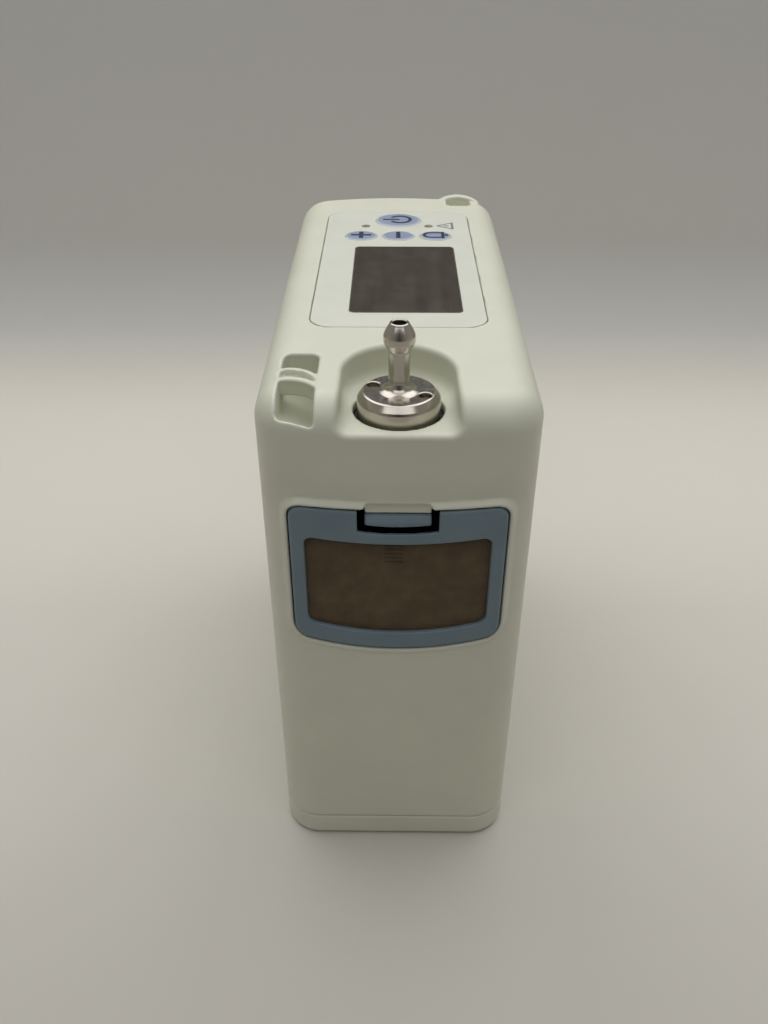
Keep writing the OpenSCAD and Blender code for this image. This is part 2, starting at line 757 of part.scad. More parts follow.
// Turned metal outlet: flange with spanner holes, stem, barb and gas passage
module outlet_fitting() {
    barb_z = tip_z - 3.1;
    barb_low = barb_z - 1.5;
    color(steel) translate([0, outlet_y, 0]) difference() {
        rotate_extrude() polygon(concat(
            [[gas_r, shank_low], [shank_r, shank_low], [shank_r, socket_top], [flange_r, socket_top],
                [flange_r, recess_z + flange_side], [flange_r - 1.4, flange_top]],
            arc(stem_r + stem_fillet, flange_top + stem_fillet, stem_fillet, 270, 180, 6),
            [[stem_r, barb_low - 2.2], [barb_r, barb_low], [barb_r, barb_z]],
            [for (i = [1:4]) let (t = i / 4)
                [barb_r + (tip_r - barb_r) * pow(t, 1.3), barb_z + (tip_z - barb_z - 0.3) * t]],
            [[tip_r - 0.25, tip_z], [gas_r + 0.2, tip_z], [gas_r, tip_z - 0.3]]));
        for (a = [155, 335]) translate([spanner_at * cos(a), spanner_at * sin(a), flange_top - 3])
            cylinder(r = spanner_r, h = 4);
    }
}

module outlet_seal() {
    color(dark_plastic) translate([0, outlet_y, socket_top - 0.9]) rotate_extrude()
        translate([seal_r, 0]) circle(seal_t);
}

module outlet_filter() {
    color([0.9, 0.9, 0.88]) translate([0, outlet_y, shank_low - 1.6]) cylinder(r = shank_r - 0.4, h = 1.3);
}

// Plastic socket under the recess floor that takes the fitting and sends the gas back to the valve
module outlet_socket() {
    color(dark_plastic) translate([0, outlet_y, 0]) difference() {
        union() {
            translate([0, 0, socket_low]) cylinder(r = socket_r, h = socket_top - socket_low);
            intersection() {
                translate([0, 0, socket_top - 2.4]) cylinder(r = outlet_hole_r + 2.2, h = 2.4);
                translate([0, -outlet_y, 0]) linear_extrude(2 * body_h) polygon(plan(wall + fit_gap));
            }
            translate([0, 0, port_z]) along_y(3.4, 0, valve_front - outlet_y);
        }
        translate([0, 0, shank_low]) cylinder(r = shank_r + run_gap, h = 20);
        translate([0, 0, shank_low - 1.6]) cylinder(r = shank_r - 0.3, h = 3);
        translate([0, 0, shank_low - 2.6]) cylinder(r = gas_r, h = 3);
        translate([0, 0, socket_top - 1.65]) difference() {
            cylinder(r = seal_r + 1, h = 3);
            translate([0, 0, -1]) cylinder(r = seal_r - 1, h = 5);
        }
    }
}

module conserver_valve() {
    color(alloy) difference() {
        union() {
            translate([-22, valve_front, valve_z]) cube([32, 18, valve_h - 6]);
            translate([-22, tank_y - tube_r - 0.5, valve_z]) cube([10, 18, valve_h - 6]);
            translate([-5, valve_front, valve_z]) cube([15, 18, valve_h]);
            translate([-14, valve_front + 9, valve_z + valve_h - 6]) cylinder(r = 6, h = 5);
        }
        translate([0, 0, port_z]) along_y(1.4, valve_front - 1, valve_front + 6);
    }
}

// A straight piece of soft tube, and a quarter turn of it in the plane of Y and Z
module tube_up(l) {
    linear_extrude(l) tube_ring();
}

module tube_ring() {
    difference() {
        circle(tube_r);
        circle(tube_r - 1);
    }
}

// From upright at the origin to level at y = elbow_r, z = elbow_r
module tube_elbow() {
    translate([0, elbow_r, 0]) rotate([90, 0, -90]) rotate_extrude(angle = 90)
        translate([elbow_r, 0]) tube_ring();
}

module product_tube() {
    color([0.85, 0.85, 0.8]) translate([-tank_x, tank_y, plate_top + tank_h])
        tube_up(valve_z - plate_top - tank_h);
}

// Blue-grey frame with the notch for its catch
module filter_frame() {
    color(frame_blue) difference() {
        face_plate(frame_front, frame_back) frame_face(0);
        face_plate(frame_front - 1, screen_y) window_face(0);
        face_plate(screen_y, frame_back + 1) window_face(1);
        bar_of(2 * notch_half, 12, 20, 0, frame_front + 2, notch_low);
    }
}

module filter_screen() {
    color(screen_brown) face_plate(screen_y, screen_y + screen_t) window_face(0.9);
}

// Spring catch: the tab that a finger presses down and the leaf behind it
module filter_catch() {
    color(frame_blue) union() {
        translate([0, 0, tab_low]) difference() {
            bar_of(tab_w, frame_back - frame_front, tab_h, 0, (frame_front + frame_back) / 2, 0);
            translate([-tab_w, frame_front - 0.1, tab_h - 0.8]) cube([2 * tab_w, 1, 2]);
        }
        bar_of(leaf_w, 1.2, tab_top - leaf_low, 0, frame_back + 0.8, leaf_low);
        bar_of(leaf_w, 0.6, tab_h, 0, frame_back + 0.2, tab_low);
    }
}

// Dark guard behind the screen, with the small ribbed sampling port at its top
module intake_grille() {
    y0 = seat_y + 0.9;
    color(dark_plastic) {
        difference() {
            face_plate(y0, y0 + 1.6) window_face(-1.5);
            face_plate(y0 - 1, y0 + 3) difference() {
                window_face(-3);
                for (i = [-4:4]) translate([i * 5 - 0.5, 0]) square([1, 200]);
                for (i = [0:5]) translate([-40, window_low + 2.4 + i * 5]) square([80, 1]);
                translate([0, window_top - 3.6]) circle(3.8);
            }
            bar_of(leaf_w + 1, 8, 10, 0, y0, leaf_low - tab_travel - 0.5);
        }
        translate([0, 0, window_top - 4]) for (i = [0:3])
            along_y(3.1 - 0.4 * (i % 2), y0 - 1.6 + i * 0.4, y0 - 1.2 + i * 0.4);
    }
}

// Square fan frame with its bearing pin on four arms
module fan_frame() {
    color(dark_plastic) translate([0, 0, fan_z]) {
        difference() {
            translate([0, fan_y + fan_t, 0]) rotate([90, 0, 0]) linear_extrude(fan_t)
                polygon(rounded(fan_side, fan_side, 3));
            along_y(fan_bore_r, fan_y - 1, fan_y + fan_t + 1);
            for (x = [-1, 1], z = [-1, 1]) translate([x * (fan_side / 2 - 3.2), 0, z * (fan_side / 2 - 3.2)])
                along_y(1.6, fan_y - 1, fan_y + fan_t + 1);
        }
        along_y(hub_r, fan_y + fan_t - 1.8, fan_y + fan_t);
        along_y(pin_r, fan_y + 2.6, fan_y + fan_t - 1);
        for (a = [45:90:315]) rotate([0, a, 0])
            translate([hub_r - 1, fan_y + fan_t - 1.6, -1]) cube([fan_bore_r - hub_r + 1.8, 1.6, 2]);
    }
}

// Rotor: hub that turns on the pin, with leaning blades
module fan_rotor() {
    y0 = fan_y + 0.8;
    y1 = fan_y + fan_t - 2.3;
    color([0.2, 0.2, 0.22]) translate([0, 0, fan_z]) difference() {
        union() {
            along_y(hub_r, y0, y1);
            intersection() {
                along_y(fan_bore_r - 0.6, y0, y1);
                for (i = [0:blades - 1]) rotate([0, i * 360 / blades, 0])
                    translate([hub_r - 1, (y0 + y1) / 2, 0]) rotate([38, 0, 0])
                        translate([0, -7, -0.6]) cube([fan_bore_r, 14, 1.2]);
            }
        }
        along_y(pin_r + run_gap, y0 + 1.5, y1 + 1);
    }
}

// Base plate with the two crankcases
module compressor_frame() {
    color(alloy) difference() {
        union() {
            bar_of(base_w, 2 * crank_end + 2, base_t, 0, 0, base_z);
            for (y = [-1, 1]) bar_of(base_w - 2, crank_l, crank_top - base_z, 0, y * crank_y, base_z);
        }
        translate([0, 0, shaft_z]) along_y(shaft_r + 1.5, -80, 80);
        translate([0, 0, shaft_z]) for (m = [0, 1]) mirror([0, m, 0])
            along_y(bearing_r + 0.02, crank_end - 5, crank_end + 5);
        for (x = [-mount_x, mount_x], y = [-mount_y, mount_y]) translate([x, y, base_z - 1])
            cylinder(r = 1.6, h = base_t + 0.5);
    }
}

module compressor_motor() {
    color([0.55, 0.56, 0.58]) translate([0, 0, shaft_z]) difference() {
        union() {
            along_y(motor_r, -motor_l / 2, motor_l / 2);
            translate([-7, -motor_l / 2 + 4, motor_r - 2]) cube([14, 10, 5]);
        }
        along_y(shaft_r + 0.6, -motor_l, motor_l);
        for (y = [-1, 1]) translate([0, y * (motor_l / 2 - 3), 0]) difference() {
            along_y(motor_r + 1, -0.6, 0.6);
            along_y(motor_r - 0.6, -1, 1);
        }
    }
}

module compressor_cylinders() {
    color(alloy) for (y = [-1, 1]) translate([0, y * crank_y, crank_top]) {
        difference() {
            intersection() {
                union() {
                    cylinder(r = cylinder_r - 2.5, h = cylinder_h);
                    for (i = [0:4]) translate([0, 0, i * (cylinder_h - 1.4) / 4])
                        cylinder(r = cylinder_r, h = 1.4);
                }
                bar_of(2 * cylinder_r + 1, crank_l, cylinder_h, 0, 0, 0);
            }
            translate([0, 0, -1]) cylinder(r = cylinder_r - 5, h = cylinder_h + 2);
        }
    }
}

module compressor_heads() {
    color([0.66, 0.67, 0.70]) for (y = [-1, 1]) translate([0, y * crank_y, head_z]) difference() {
        union() {
            linear_extrude(head_h - 4) polygon(rounded(28, crank_l, 3));
            for (x = [-10:5:10]) bar_of(1.6, crank_l - 4, head_h - 2, x, 0, 0);
            for (x = [-7.5, 7.5]) translate([x, 0, 0]) cylinder(r = tube_r + 0.6, h = head_h);
        }
        for (x = [-7.5, 7.5]) translate([x, 0, 3]) cylinder(r = tube_r - 1, h = head_h);
    }
}

// Shaft with a counterweight at each end
module compressor_shaft() {
    color(steel) translate([0, 0, shaft_z]) {
        along_y(shaft_r, -crank_end - 5, crank_end + 5);
        for (m = [0, 1]) mirror([0, m, 0]) {
            along_y(5.4, crank_end + 0.6, crank_end + 4.2);
            intersection() {
                along_y(12.5, crank_end + 0.6, crank_end + 4.2);
                bar_of(40, 10, 17, 0, crank_end + 5, -20);
            }
        }
    }
}

module shaft_bearings() {
    color(steel) translate([0, 0, shaft_z]) for (m = [0, 1]) mirror([0, m, 0]) difference() {
        along_y(bearing_r, crank_end - 5, crank_end);
        along_y(shaft_r + run_gap, crank_end - 6, crank_end + 1);
    }
}

module vibration_mounts() {
    color(dark_plastic) for (x = [-mount_x, mount_x], y = [-mount_y, mount_y]) translate([x, y, plate_top])
        rotate_extrude() polygon([[0, 0], [4.6, 0], [4.6, 1], [3.4, 1.8], [3.4, mount_h - 1.8],
            [4.6, mount_h - 1], [4.6, mount_h], [0, mount_h]]);
}

// Folded sheet over the compressor that carries the valves
module valve_bracket() {
    color(alloy) difference() {
        union() {
            for (x = [-1, 1]) {
                bar_of(bracket_t, bracket_l, bracket_z - plate_top,
                    x * (bracket_in + bracket_t / 2), 0, plate_top);
                bar_of(3.4, bracket_l, bracket_t, x * (bracket_in + 1.7), 0, plate_top);
            }
            bar_of(2 * (bracket_in + bracket_t), bracket_l, bracket_t, 0, 0, bracket_z);
        }
        for (x = [-7.5, 7.5], y = [-1, 1]) translate([x, y * crank_y, bracket_z - 1])
            cylinder(r = tube_r + 0.6, h = 4);
        translate([0, 0, shaft_z]) rotate([0, 90, 0]) cylinder(r = 15, h = 80, center = true);
    }
}

module feed_tubes() {
    color([0.85, 0.85, 0.8]) for (x = [-7.5, 7.5], y = [-1, 1])
        translate([x, y * crank_y, head_z + head_h]) tube_up(manifold_z - head_z - head_h);
}

module valve_manifold() {
    color(alloy) difference() {
        bar_of(manifold_w, manifold_l, manifold_h, 0, 0, manifold_z);
        for (x = [-column_x, column_x]) translate([x, 0, manifold_port_z])
            along_y(tube_r - 1, manifold_l / 2 - 8, manifold_l);
        translate([tank_x, 0, manifold_port_z]) along_y(tube_r - 1, -manifold_l, -manifold_l / 2 + 8);
        for (x = [-7.5, 7.5], y = [-1, 1]) translate([x, y * crank_y, manifold_z - 1])
            cylinder(r = tube_r - 1, h = 4);
        translate([0, 0, manifold_z + manifold_h - 1.5]) bar_of(3, manifold_l + 2, 4, 0, 0, 0);
    }
}

module solenoid_valves() {
    color([0.30, 0.31, 0.34]) for (x = [-10.5, 10.5], y = [-20, 4]) translate([x, y, manifold_z + manifold_h])
        difference() {
            union() {
                bar_of(14, 14, 3, 0, 0, 0);
                cylinder(r = 6.4, h = 15);
                cylinder(r = 2.6, h = 17);
            }
            for (z = [5, 9]) translate([0, 0, z]) difference() {
                cylinder(r = 8, h = 1);
                translate([0, 0, -1]) cylinder(r = 5.8, h = 3);
            }
        }
}

// Air from the silencer to the manifold
module intake_tube() {
    rise = manifold_port_z - elbow_r - plate_top - tank_h;
    color([0.85, 0.85, 0.8]) translate([tank_x, tank_y, plate_top + tank_h]) {
        tube_up(rise);
        translate([0, 0, rise]) tube_elbow();
        translate([0, elbow_r, rise + elbow_r]) rotate([-90, 0, 0])
            tube_up(-manifold_l / 2 - tank_y - elbow_r);
    }
}

// From the manifold up to the top of each sieve column
module column_tubes() {
    start_y = manifold_l / 2;
    up_y = column_port_y - 4.2;
    level = cap_z + 3;
    rise = level - manifold_port_z - 2 * elbow_r;
    color([0.85, 0.85, 0.8]) for (x = [-column_x, column_x]) translate([x, 0, manifold_port_z]) {
        translate([0, start_y, 0]) rotate([-90, 0, 0]) tube_up(up_y - elbow_r - start_y);
        translate([0, up_y, elbow_r]) rotate([180, 0, 0]) tube_elbow();
        translate([0, up_y, elbow_r]) tube_up(rise);
        translate([0, up_y, elbow_r + rise]) tube_elbow();
        translate([0, up_y + elbow_r, 2 * elbow_r + rise]) rotate([-90, 0, 0])
            tube_up(column_port_y - up_y - elbow_r);
    }
}

module sieve_column(x) {
    color(alloy) translate([x, column_y, column_z]) difference() {
        cylinder(r = column_r, h = column_l);
        for (z = [3, column_l - 4]) translate([0, 0, z]) difference() {
            cylinder(r = column_r + 1, h = 1);
            translate([0, 0, -1]) cylinder(r = column_r - 0.5, h = 3);
        }
    }
}

module sieve_column_left() {
    sieve_column(-column_x);
}

module sieve_column_right() {
    sieve_column(column_x);
}

module column_caps() {
    color([0.20, 0.22, 0.25]) for (x = [-column_x, column_x]) translate([x, column_y, 0]) {
        translate([0, 0, column_z - cap_low_h]) cylinder(r = column_r + 0.4, h = cap_low_h);
        translate([0, 0, cap_z]) difference() {
            union() {
                cylinder(r = column_r + 0.4, h = cap_h - 2);
                cylinder(r = column_r - 3, h = cap_h);
                translate([0, 0, 3]) along_y(2.9, -column_r - 0.6, 0);
            }
            translate([0, 0, 3]) along_y(1.4, -column_r - 2, 0);
        }
    }
}

// Shelf with three legs that the columns stand on
module column_cradle() {
    color(dark_plastic) difference() {
        union() {
            translate([0, column_y, cradle_z]) linear_extrude(cradle_t)
                polygon(rounded(cradle_w, cradle_l, column_r - 2));
            for (x = [-1, 1] * (cradle_w / 2 - 10))
                bar_of(5, 4, cradle_z - plate_top, x, column_y - column_r + 2.2, plate_top);
            bar_of(8, 4, cradle_z - plate_top, 0, column_y + column_r - 3, plate_top);
        }
        for (x = [-column_x, column_x]) translate([x, column_y, cradle_z - 1]) cylinder(r = 4, h = 8);
    }
}

module tank_shape(neck) {
    rotate_extrude() polygon(concat([[0, 0], [tank_r - 1.5, 0], [tank_r, 1.5], [tank_r, tank_h - 8]],
        arc(tank_r - 5, tank_h - 8, 5, 0, 90, 5), [[neck, tank_h - 3], [neck, tank_h], [0, tank_h]]));
}

module product_tank() {
    color([0.8, 0.8, 0.78]) translate([-tank_x, tank_y, plate_top]) tank_shape(3.4);
}

module intake_silencer() {
    color([0.25, 0.26, 0.28]) translate([tank_x, tank_y, plate_top]) difference() {
        tank_shape(3.4);
        for (z = [8:6:32]) translate([0, 0, z]) difference() {
            cylinder(r = tank_r + 1, h = 1.4);
            translate([0, 0, -1]) cylinder(r = tank_r - 0.8, h = 4);
        }
    }
}

module power_board() {
    color(board_green) {
        bar_of(1.6, power_board_l, power_board_h, power_board_x, 0, plate_top + 0.2);
        for (y = [-22:11:22]) bar_of(1.4, 7, 8, power_board_x + 1.4, y, plate_top + 14);
        for (y = [-12, 12]) bar_of(1.4, 10, 12, power_board_x + 1.4, y, plate_top + 34);
    }
}

// Blades under the chassis that enter the pack's contacts
module power_connector() {
    color(dark_plastic) bar_of(contact_w, 4, plate_z - contact_low, 0, connector_y, contact_low);
    color([0.8, 0.65, 0.3]) for (x = [-8:4:8]) bar_of(blade_t, 5, blade_h, x, tub_front, blade_z);
}

module acoustic_foam() {
    color([0.25, 0.25, 0.25]) for (x = [-1, 1])
        bar_of(foam_t, foam_l, foam_h, x * (inner_x - fit_gap - foam_t / 2), 0, plate_top + fit_gap);
}

module dc_inlet() {
    color(dark_plastic) translate([jack_x, 0, port_level]) {
        difference() {
            union() {
                along_y(jack_r, back_y - 16, back_y - 2.2);
                along_y(jack_r + 1.4, back_y - 16, back_y - 6.4);
            }
            along_y(socket_bore_r, back_y - 12, back_y);
        }
        along_y(jack_pin_r, back_y - 13, back_y - 3.4);
    }
}

module usb_port() {
    color(steel) difference() {
        bar_of(9.2, 13, 3.8, usb_x, back_y - 9, port_level - 1.9);
        bar_of(8, 8, 2.6, usb_x, back_y - 6, port_level - 1.3);
        translate([usb_x, back_y - 3.4, port_level]) bar_of(8, 4, 2.6, 0, 1, -1.3);
    }
    color(steel) bar_of(6, 6, 0.7, usb_x, back_y - 8.4, port_level - 0.35);
}

// Vent insert that follows the bowed back
module exhaust_grille() {
    color(housing_white) difference() {
        intersection() {
            translate([0, 0, grille_z - 40]) linear_extrude(80) difference() {
                polygon(plan(0.3));
                polygon(plan(wall + 0.6));
            }
            translate([0, back_y - 12, grille_z]) rotate([-90, 0, 0]) linear_extrude(20)
                polygon(rounded(grille_w - 2 * fit_gap, grille_h - 2 * fit_gap, 4 - fit_gap));
        }
        for (i = [-5:5]) translate([0, back_y - 6, grille_z + i * 4.8]) rotate([-90, 0, 0])
            linear_extrude(20) polygon(rounded(grille_w - 8, 2.2, 1));
    }
}

// Battery pan with the band that shows under the housing, and the tub that holds the cells
module battery_case() {
    color(housing_white) difference() {
        union() {
            translate([0, 0, foot_proud]) linear_extrude(case_top - foot_proud) polygon(plan(0));
            translate([-tub_x, tub_front, foot_proud])
                cube([2 * tub_x, tub_back - tub_front, lid_z - foot_proud]);
            intersection() {
                translate([0, 0, foot_proud]) linear_extrude(plate_z - fit_gap - foot_proud) polygon(plan(0));
                translate([-tub_x, tub_back - 0.1, 0]) cube([2 * tub_x, 60, 60]);
            }
        }
        translate([-tub_in_x, tub_front + case_wall, foot_proud + case_floor])
            cube([2 * tub_in_x, tub_back - tub_front - 2 * case_wall, 60]);
        bar_of(contact_w + 2 * fit_gap, 12, 60, 0, tub_front, case_top);
        bar_of(catch_w + 2 * fit_gap, 20, catch_h + catch_travel + 2 * fit_gap, 0, catch_y + 10,
            catch_low - catch_travel - fit_gap);
        bar_of(nose_w + 2 * fit_gap, nose_t + 2 * fit_gap, plate_z, 0, nose_y, catch_low);
        for (x = [-foot_x, foot_x], y = [-foot_y, foot_y]) translate([x, y, foot_proud - 1])
            cylinder(r = foot_r + 0.1, h = 1.8);
    }
}

module battery_lid() {
    color([0.35, 0.36, 0.38]) union() {
        translate([-tub_x, tub_front, lid_z]) cube([2 * tub_x, tub_back - tub_front - fit_gap, lid_t]);
        for (x = [-rail_x, rail_x]) {
            bar_of(2 * rail_neck_half, rail_l, rail_neck + 0.1, x, rail_mid, lid_top - 0.1);
            bar_of(2 * rail_head_half, rail_l, rail_head, x, rail_mid, lid_top + rail_neck);
        }
    }
}

module battery_cells() {
    color([0.20, 0.45, 0.42]) for (i = [0:cells_across - 1], j = [0:cells_along - 1])
        translate([(i - (cells_across - 1) / 2) * cell_pitch, cell_start + j * cell_step, cell_z])
            along_y(cell_d / 2, 0, cell_l);
}

module battery_board() {
    color(board_green) translate([2 - tub_in_x, tub_front + case_wall + 0.2, foot_proud + case_floor + 0.1])
        cube([tub_in_x - contact_w / 2 - 2.6, 1.4, cell_d - 1.4]);
}

module battery_contacts() {
    color(dark_plastic) difference() {
        bar_of(contact_w, 3.4, lid_z - contact_low, 0, tub_front + 1.8, contact_low);
        for (x = [-8:4:8])
            bar_of(blade_t + 2 * fit_gap, 9, blade_h + 2 * fit_gap, x, tub_front, blade_z - fit_gap);
    }
}

module battery_catch() {
    color([0.45, 0.47, 0.50]) difference() {
        union() {
            bar_of(catch_w, 3.4, catch_h, 0, catch_y + 2, catch_low);
            bar_of(nose_w, nose_t, plate_z - fit_gap - catch_low, 0, nose_y, catch_low);
        }
        for (i = [0:2]) bar_of(2 * catch_w, 2, 0.8, 0, catch_y + 4.2, catch_low + 1.2 + i * 1.8);
    }
}

module battery_feet() {
    color(dark_plastic) for (x = [-foot_x, foot_x], y = [-foot_y, foot_y]) translate([x, y, 0])
        cylinder(r = foot_r, h = foot_proud + 0.8);
}

main_housing();
base_chassis();
chassis_screws();
keypad_panel();
display_window();
display_module();
control_board();
board_screws();
dome_switches();
power_button();
plus_button();
minus_button();
alert_button();
indicator_lights();
buzzer();
outlet_fitting();
outlet_seal();
outlet_filter();
outlet_socket();
conserver_valve();
product_tube();
filter_frame();
filter_screen();
filter_catch();
intake_grille();
fan_frame();
fan_rotor();
compressor_frame();
compressor_motor();
compressor_cylinders();
compressor_heads();
compressor_shaft();
shaft_bearings();
vibration_mounts();
valve_bracket();
valve_manifold();
solenoid_valves();
feed_tubes();
intake_tube();
column_tubes();
sieve_column_left();
sieve_column_right();
column_caps();
column_cradle();
product_tank();
intake_silencer();
power_board();
power_connector();
acoustic_foam();
dc_inlet();
usb_port();
exhaust_grille();
battery_case();
battery_lid();
battery_cells();
battery_board();
battery_contacts();
battery_catch();
battery_feet();
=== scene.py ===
import math
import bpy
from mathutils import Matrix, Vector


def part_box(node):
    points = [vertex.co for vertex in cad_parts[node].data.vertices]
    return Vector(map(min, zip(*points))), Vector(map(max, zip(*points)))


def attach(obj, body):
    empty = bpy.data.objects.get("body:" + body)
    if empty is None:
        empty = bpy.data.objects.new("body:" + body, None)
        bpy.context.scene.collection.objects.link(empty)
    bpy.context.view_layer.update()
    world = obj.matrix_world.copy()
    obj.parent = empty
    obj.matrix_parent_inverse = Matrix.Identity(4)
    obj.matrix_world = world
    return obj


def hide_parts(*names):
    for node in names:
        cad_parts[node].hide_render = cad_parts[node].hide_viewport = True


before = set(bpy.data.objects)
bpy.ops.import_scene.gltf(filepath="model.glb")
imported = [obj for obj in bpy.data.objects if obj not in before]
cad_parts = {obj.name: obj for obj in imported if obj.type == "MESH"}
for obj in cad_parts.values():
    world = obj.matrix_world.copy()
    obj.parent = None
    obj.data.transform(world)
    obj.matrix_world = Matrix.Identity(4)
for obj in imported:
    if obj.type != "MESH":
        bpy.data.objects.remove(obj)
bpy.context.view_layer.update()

from concurrent.futures import ThreadPoolExecutor

import bmesh
import bpy
import numpy as np
from mathutils import Vector

# A portable oxygen concentrator: x runs across it, its front looks along -y, z is up.
# On the sloping top, s is the place along the slope from the front and n the height above it.
# Shapes are worked out in millimetres and scaled once, when a mesh is made.
MM = 0.001


def box_mm(node):
    low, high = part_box(node)
    return np.array(low) / MM, np.array(high) / MM


# Body. TOP is its height at the front, and HIGHEST clears the top at the back
housing_low, housing_high = box_mm("main_housing")
HALF_W = housing_high[0]
FRONT = housing_low[1]
BACK = housing_high[1]
BASE = housing_low[2]
TOP = 150.0
HIGHEST = 157
TILT = math.atan(6 / 160)
COS, SIN = math.cos(TILT), math.sin(TILT)
CORNER_R = 11.0
TOP_R = 8.0
WALL = 2.4
TOP_WALL = 3.4
CORNER_X = HALF_W - CORNER_R
# The back is an arc that stands out by BOW in the middle
BOW = 6.0
BOW_R = (HALF_W ** 2 + BOW ** 2) / (2 * BOW)
BOW_Y = BACK - BOW_R
BACK_CORNER_Y = BOW_Y + math.sqrt((BOW_R - CORNER_R) ** 2 - CORNER_X ** 2)
BOW_SLOPE = CORNER_X / (BACK_CORNER_Y - BOW_Y)
# Screw bosses on each side, as x, y and height
BOSSES = ((CORNER_X + 4.1, FRONT + CORNER_R - 4.1, 32), (HALF_W - WALL - 2.8, BACK - 24.4, 12))
BOSS_R = 3.2
BOSS_LOW = 29.4

# Control panel, by x and s. The film reaches into the gap round it by PANEL_EDGE
PANEL_HALF = 23.3
PANEL_S = (42.0, 137.0)
PANEL_MID = (PANEL_S[0] + PANEL_S[1]) / 2
PANEL_HALF_S = PANEL_MID - PANEL_S[0]
PANEL_T = 1.5
PANEL_R = 6.0
PANEL_GAP = 0.35
PANEL_EDGE = 0.12
# Display and keys as x, s and two half sizes, lights as x and s
DISPLAY = (2.0, 76.8, 15.3, 25.8)
DISPLAY_R = 1.5
KEYS = {"power": (0.2, 128.2, 7.6, 6.9), "plus": (-11.9, 112.5, 5.15, 4.5),
        "minus": (0.1, 112.5, 5.15, 4.5), "alert": (12.1, 112.5, 5.15, 4.5)}
LIGHTS = ((-10.6, 122.4), (10.2, 122.4))
# Openings for them: growth and corner of the display's, growth of a key's, radius of a light's
HOUSING_OPENINGS = (-1.3, 1.0, 0.6, 1.6)
PANEL_OPENINGS = (0.06, 1.65, 0.06, 1.4)
OPENING_DEPTH = 10
KEY_PROUD = 0.3
KEY_RIM = 0.3
KEY_LIP = 0.4
KEY_UNDER = -PANEL_T - 0.1
LIP_LOW = -PANEL_T - 1.1
STEM_TOP = -PANEL_T - 1
STEM_LOW = -6.8
STEM_R = 2.2

# Gas outlet: the recess in the top and the turned fitting that stands in it
fitting_low, fitting_high = box_mm("outlet_fitting")
OUTLET_Y = (fitting_low[1] + fitting_high[1]) / 2
FLANGE_R = (fitting_high[0] - fitting_low[0]) / 2
TIP_Z = fitting_high[2]
RECESS_Z = 142.4
RECESS_HALF = 13.6
RECESS_S = 17.9
RECESS_FLARE = 0.8
FLARE_REACH = 12
OUTLET_HOLE_R = 11.0
SOCKET_TOP = RECESS_Z - 2.4
SOCKET_STEP = 1
# Flange and chamfer by height over the recess's floor, the chamfer's normal outwards and upwards
FLANGE_H = 4.8
CHAMFER_H = 3
CHAMFER_OUT, CHAMFER_UP = 1.8, 1.4
BARB_Z = TIP_Z - 3.1
NECK_R = 2.5
BARB_R = 3.75
NOSE_R = 2.1
NOSE_H, NOSE_IN, NOSE_BEND = 2.9, 1.5, 1.3
FOOT_R = 5.9
BORE_R = 1.6
SPANNER_TURNS = (155, 335)
SPANNER_AT, SPANNER_R, SPANNER_H = 6.8, 1.5, 1.8

# Strap lugs. Bars as x, s of the front edge's centre, its radius, width, depth and arch
FRONT_BAR = (-26.0, 5.2, 7.6, 6.2, 4.6, 0.0)
REAR_BAR = (21.4, 146.2, 7.2, 3.0, 3.0, 0.6)
BAR_REAR_MORE = 0.3
BAR_PROUD = 0.02
BAR_INSET = 0.35
ARCH_INSET = 0.8
BAR_GROOVE = 1.7
GROOVE_DEPTH = 1.8
# Hollows round them as both sides beside the bar's x, middle and half length along s.
# Their round floors as s and n of the axis, and radius. The rear s counts from the rear bar's
FRONT_HOLLOW = (-2.1, 6.6, 8.4, 17.6)
FRONT_FLOOR = (13, 4.6, 16.5)
FLOOR_FALL = 0.34
REAR_HOLLOW = (-4.1, 4.2, 10.4, 12.0)
REAR_FLOOR = (9.4, 3.5, 11.2)
HOLLOW_R = 2.2
LUG_WALL = 1.8

# Air filter: frame and window as half width, top, its dip, lower end, its belly and corner
frame_low, frame_high = box_mm("filter_frame")
FRAME_DIP = 1.8
FRAME_HALF = frame_high[0]
FRAME_FACE = frame_low[1]
FRAME_BACK = frame_high[1]
FRAME_TOP = frame_high[2] - FRAME_DIP
FRAME_LOW = frame_low[2]
FRAME_GAP = 0.35
FRAME_OUTLINE = (FRAME_HALF, FRAME_TOP, FRAME_DIP, FRAME_LOW, 5.0, 3.4)
WINDOW_HALF = FRAME_HALF - 3.6
WINDOW_TOP = FRAME_TOP - 9.6
WINDOW_LOW = FRAME_LOW + 5.4
WINDOW_MID = (WINDOW_TOP + WINDOW_LOW) / 2
WINDOW_OUTLINE = (WINDOW_HALF, WINDOW_TOP, 2.4, WINDOW_LOW, 4.0, 2.2)
# The seat in the housing and the intake behind it: depths from the front
SEAT_Y = FRONT + 3.2
SEAT_WALL = 3.0
SEAT_WALL_DEPTH = 6.2
INTAKE_INSET = 1.2
INTAKE_DEPTH = 7.2
# Soft rim round the frame, and the dip above it
RIM_H, RIM_FLAT, RIM_FALL = 0.78, 0.8, 1.7
DIP_DEPTH, DIP_START, DIP_FALL = 0.6, 2.5, 7
DIP_FADE = 10
RIM_ROOM = 0.8
# Screen, its groove in the frame, the felt behind it, the foam round that, and the ribbed port
SCREEN_Y = FRAME_FACE + 1.4
SCREEN_GROOVE = 1.0
FELT_Y = (SCREEN_Y + 0.65, SCREEN_Y + 1.15)
FELT_GROW = 0.9
FOAM_Y = FRAME_BACK + 0.02
FOAM_OUT, FOAM_LINING, FOAM_IN = 1.6, -1.3, -2.3
LINING_DEPTH = 7.0
PAD_TOP = WINDOW_TOP + 4.2
PORT_HOLE = (-0.9, WINDOW_TOP - 2.9, 2.4, 4.0)
RIB_PITCH, RIB_HALF, RIB_START = 1.3, 0.33, 1.6
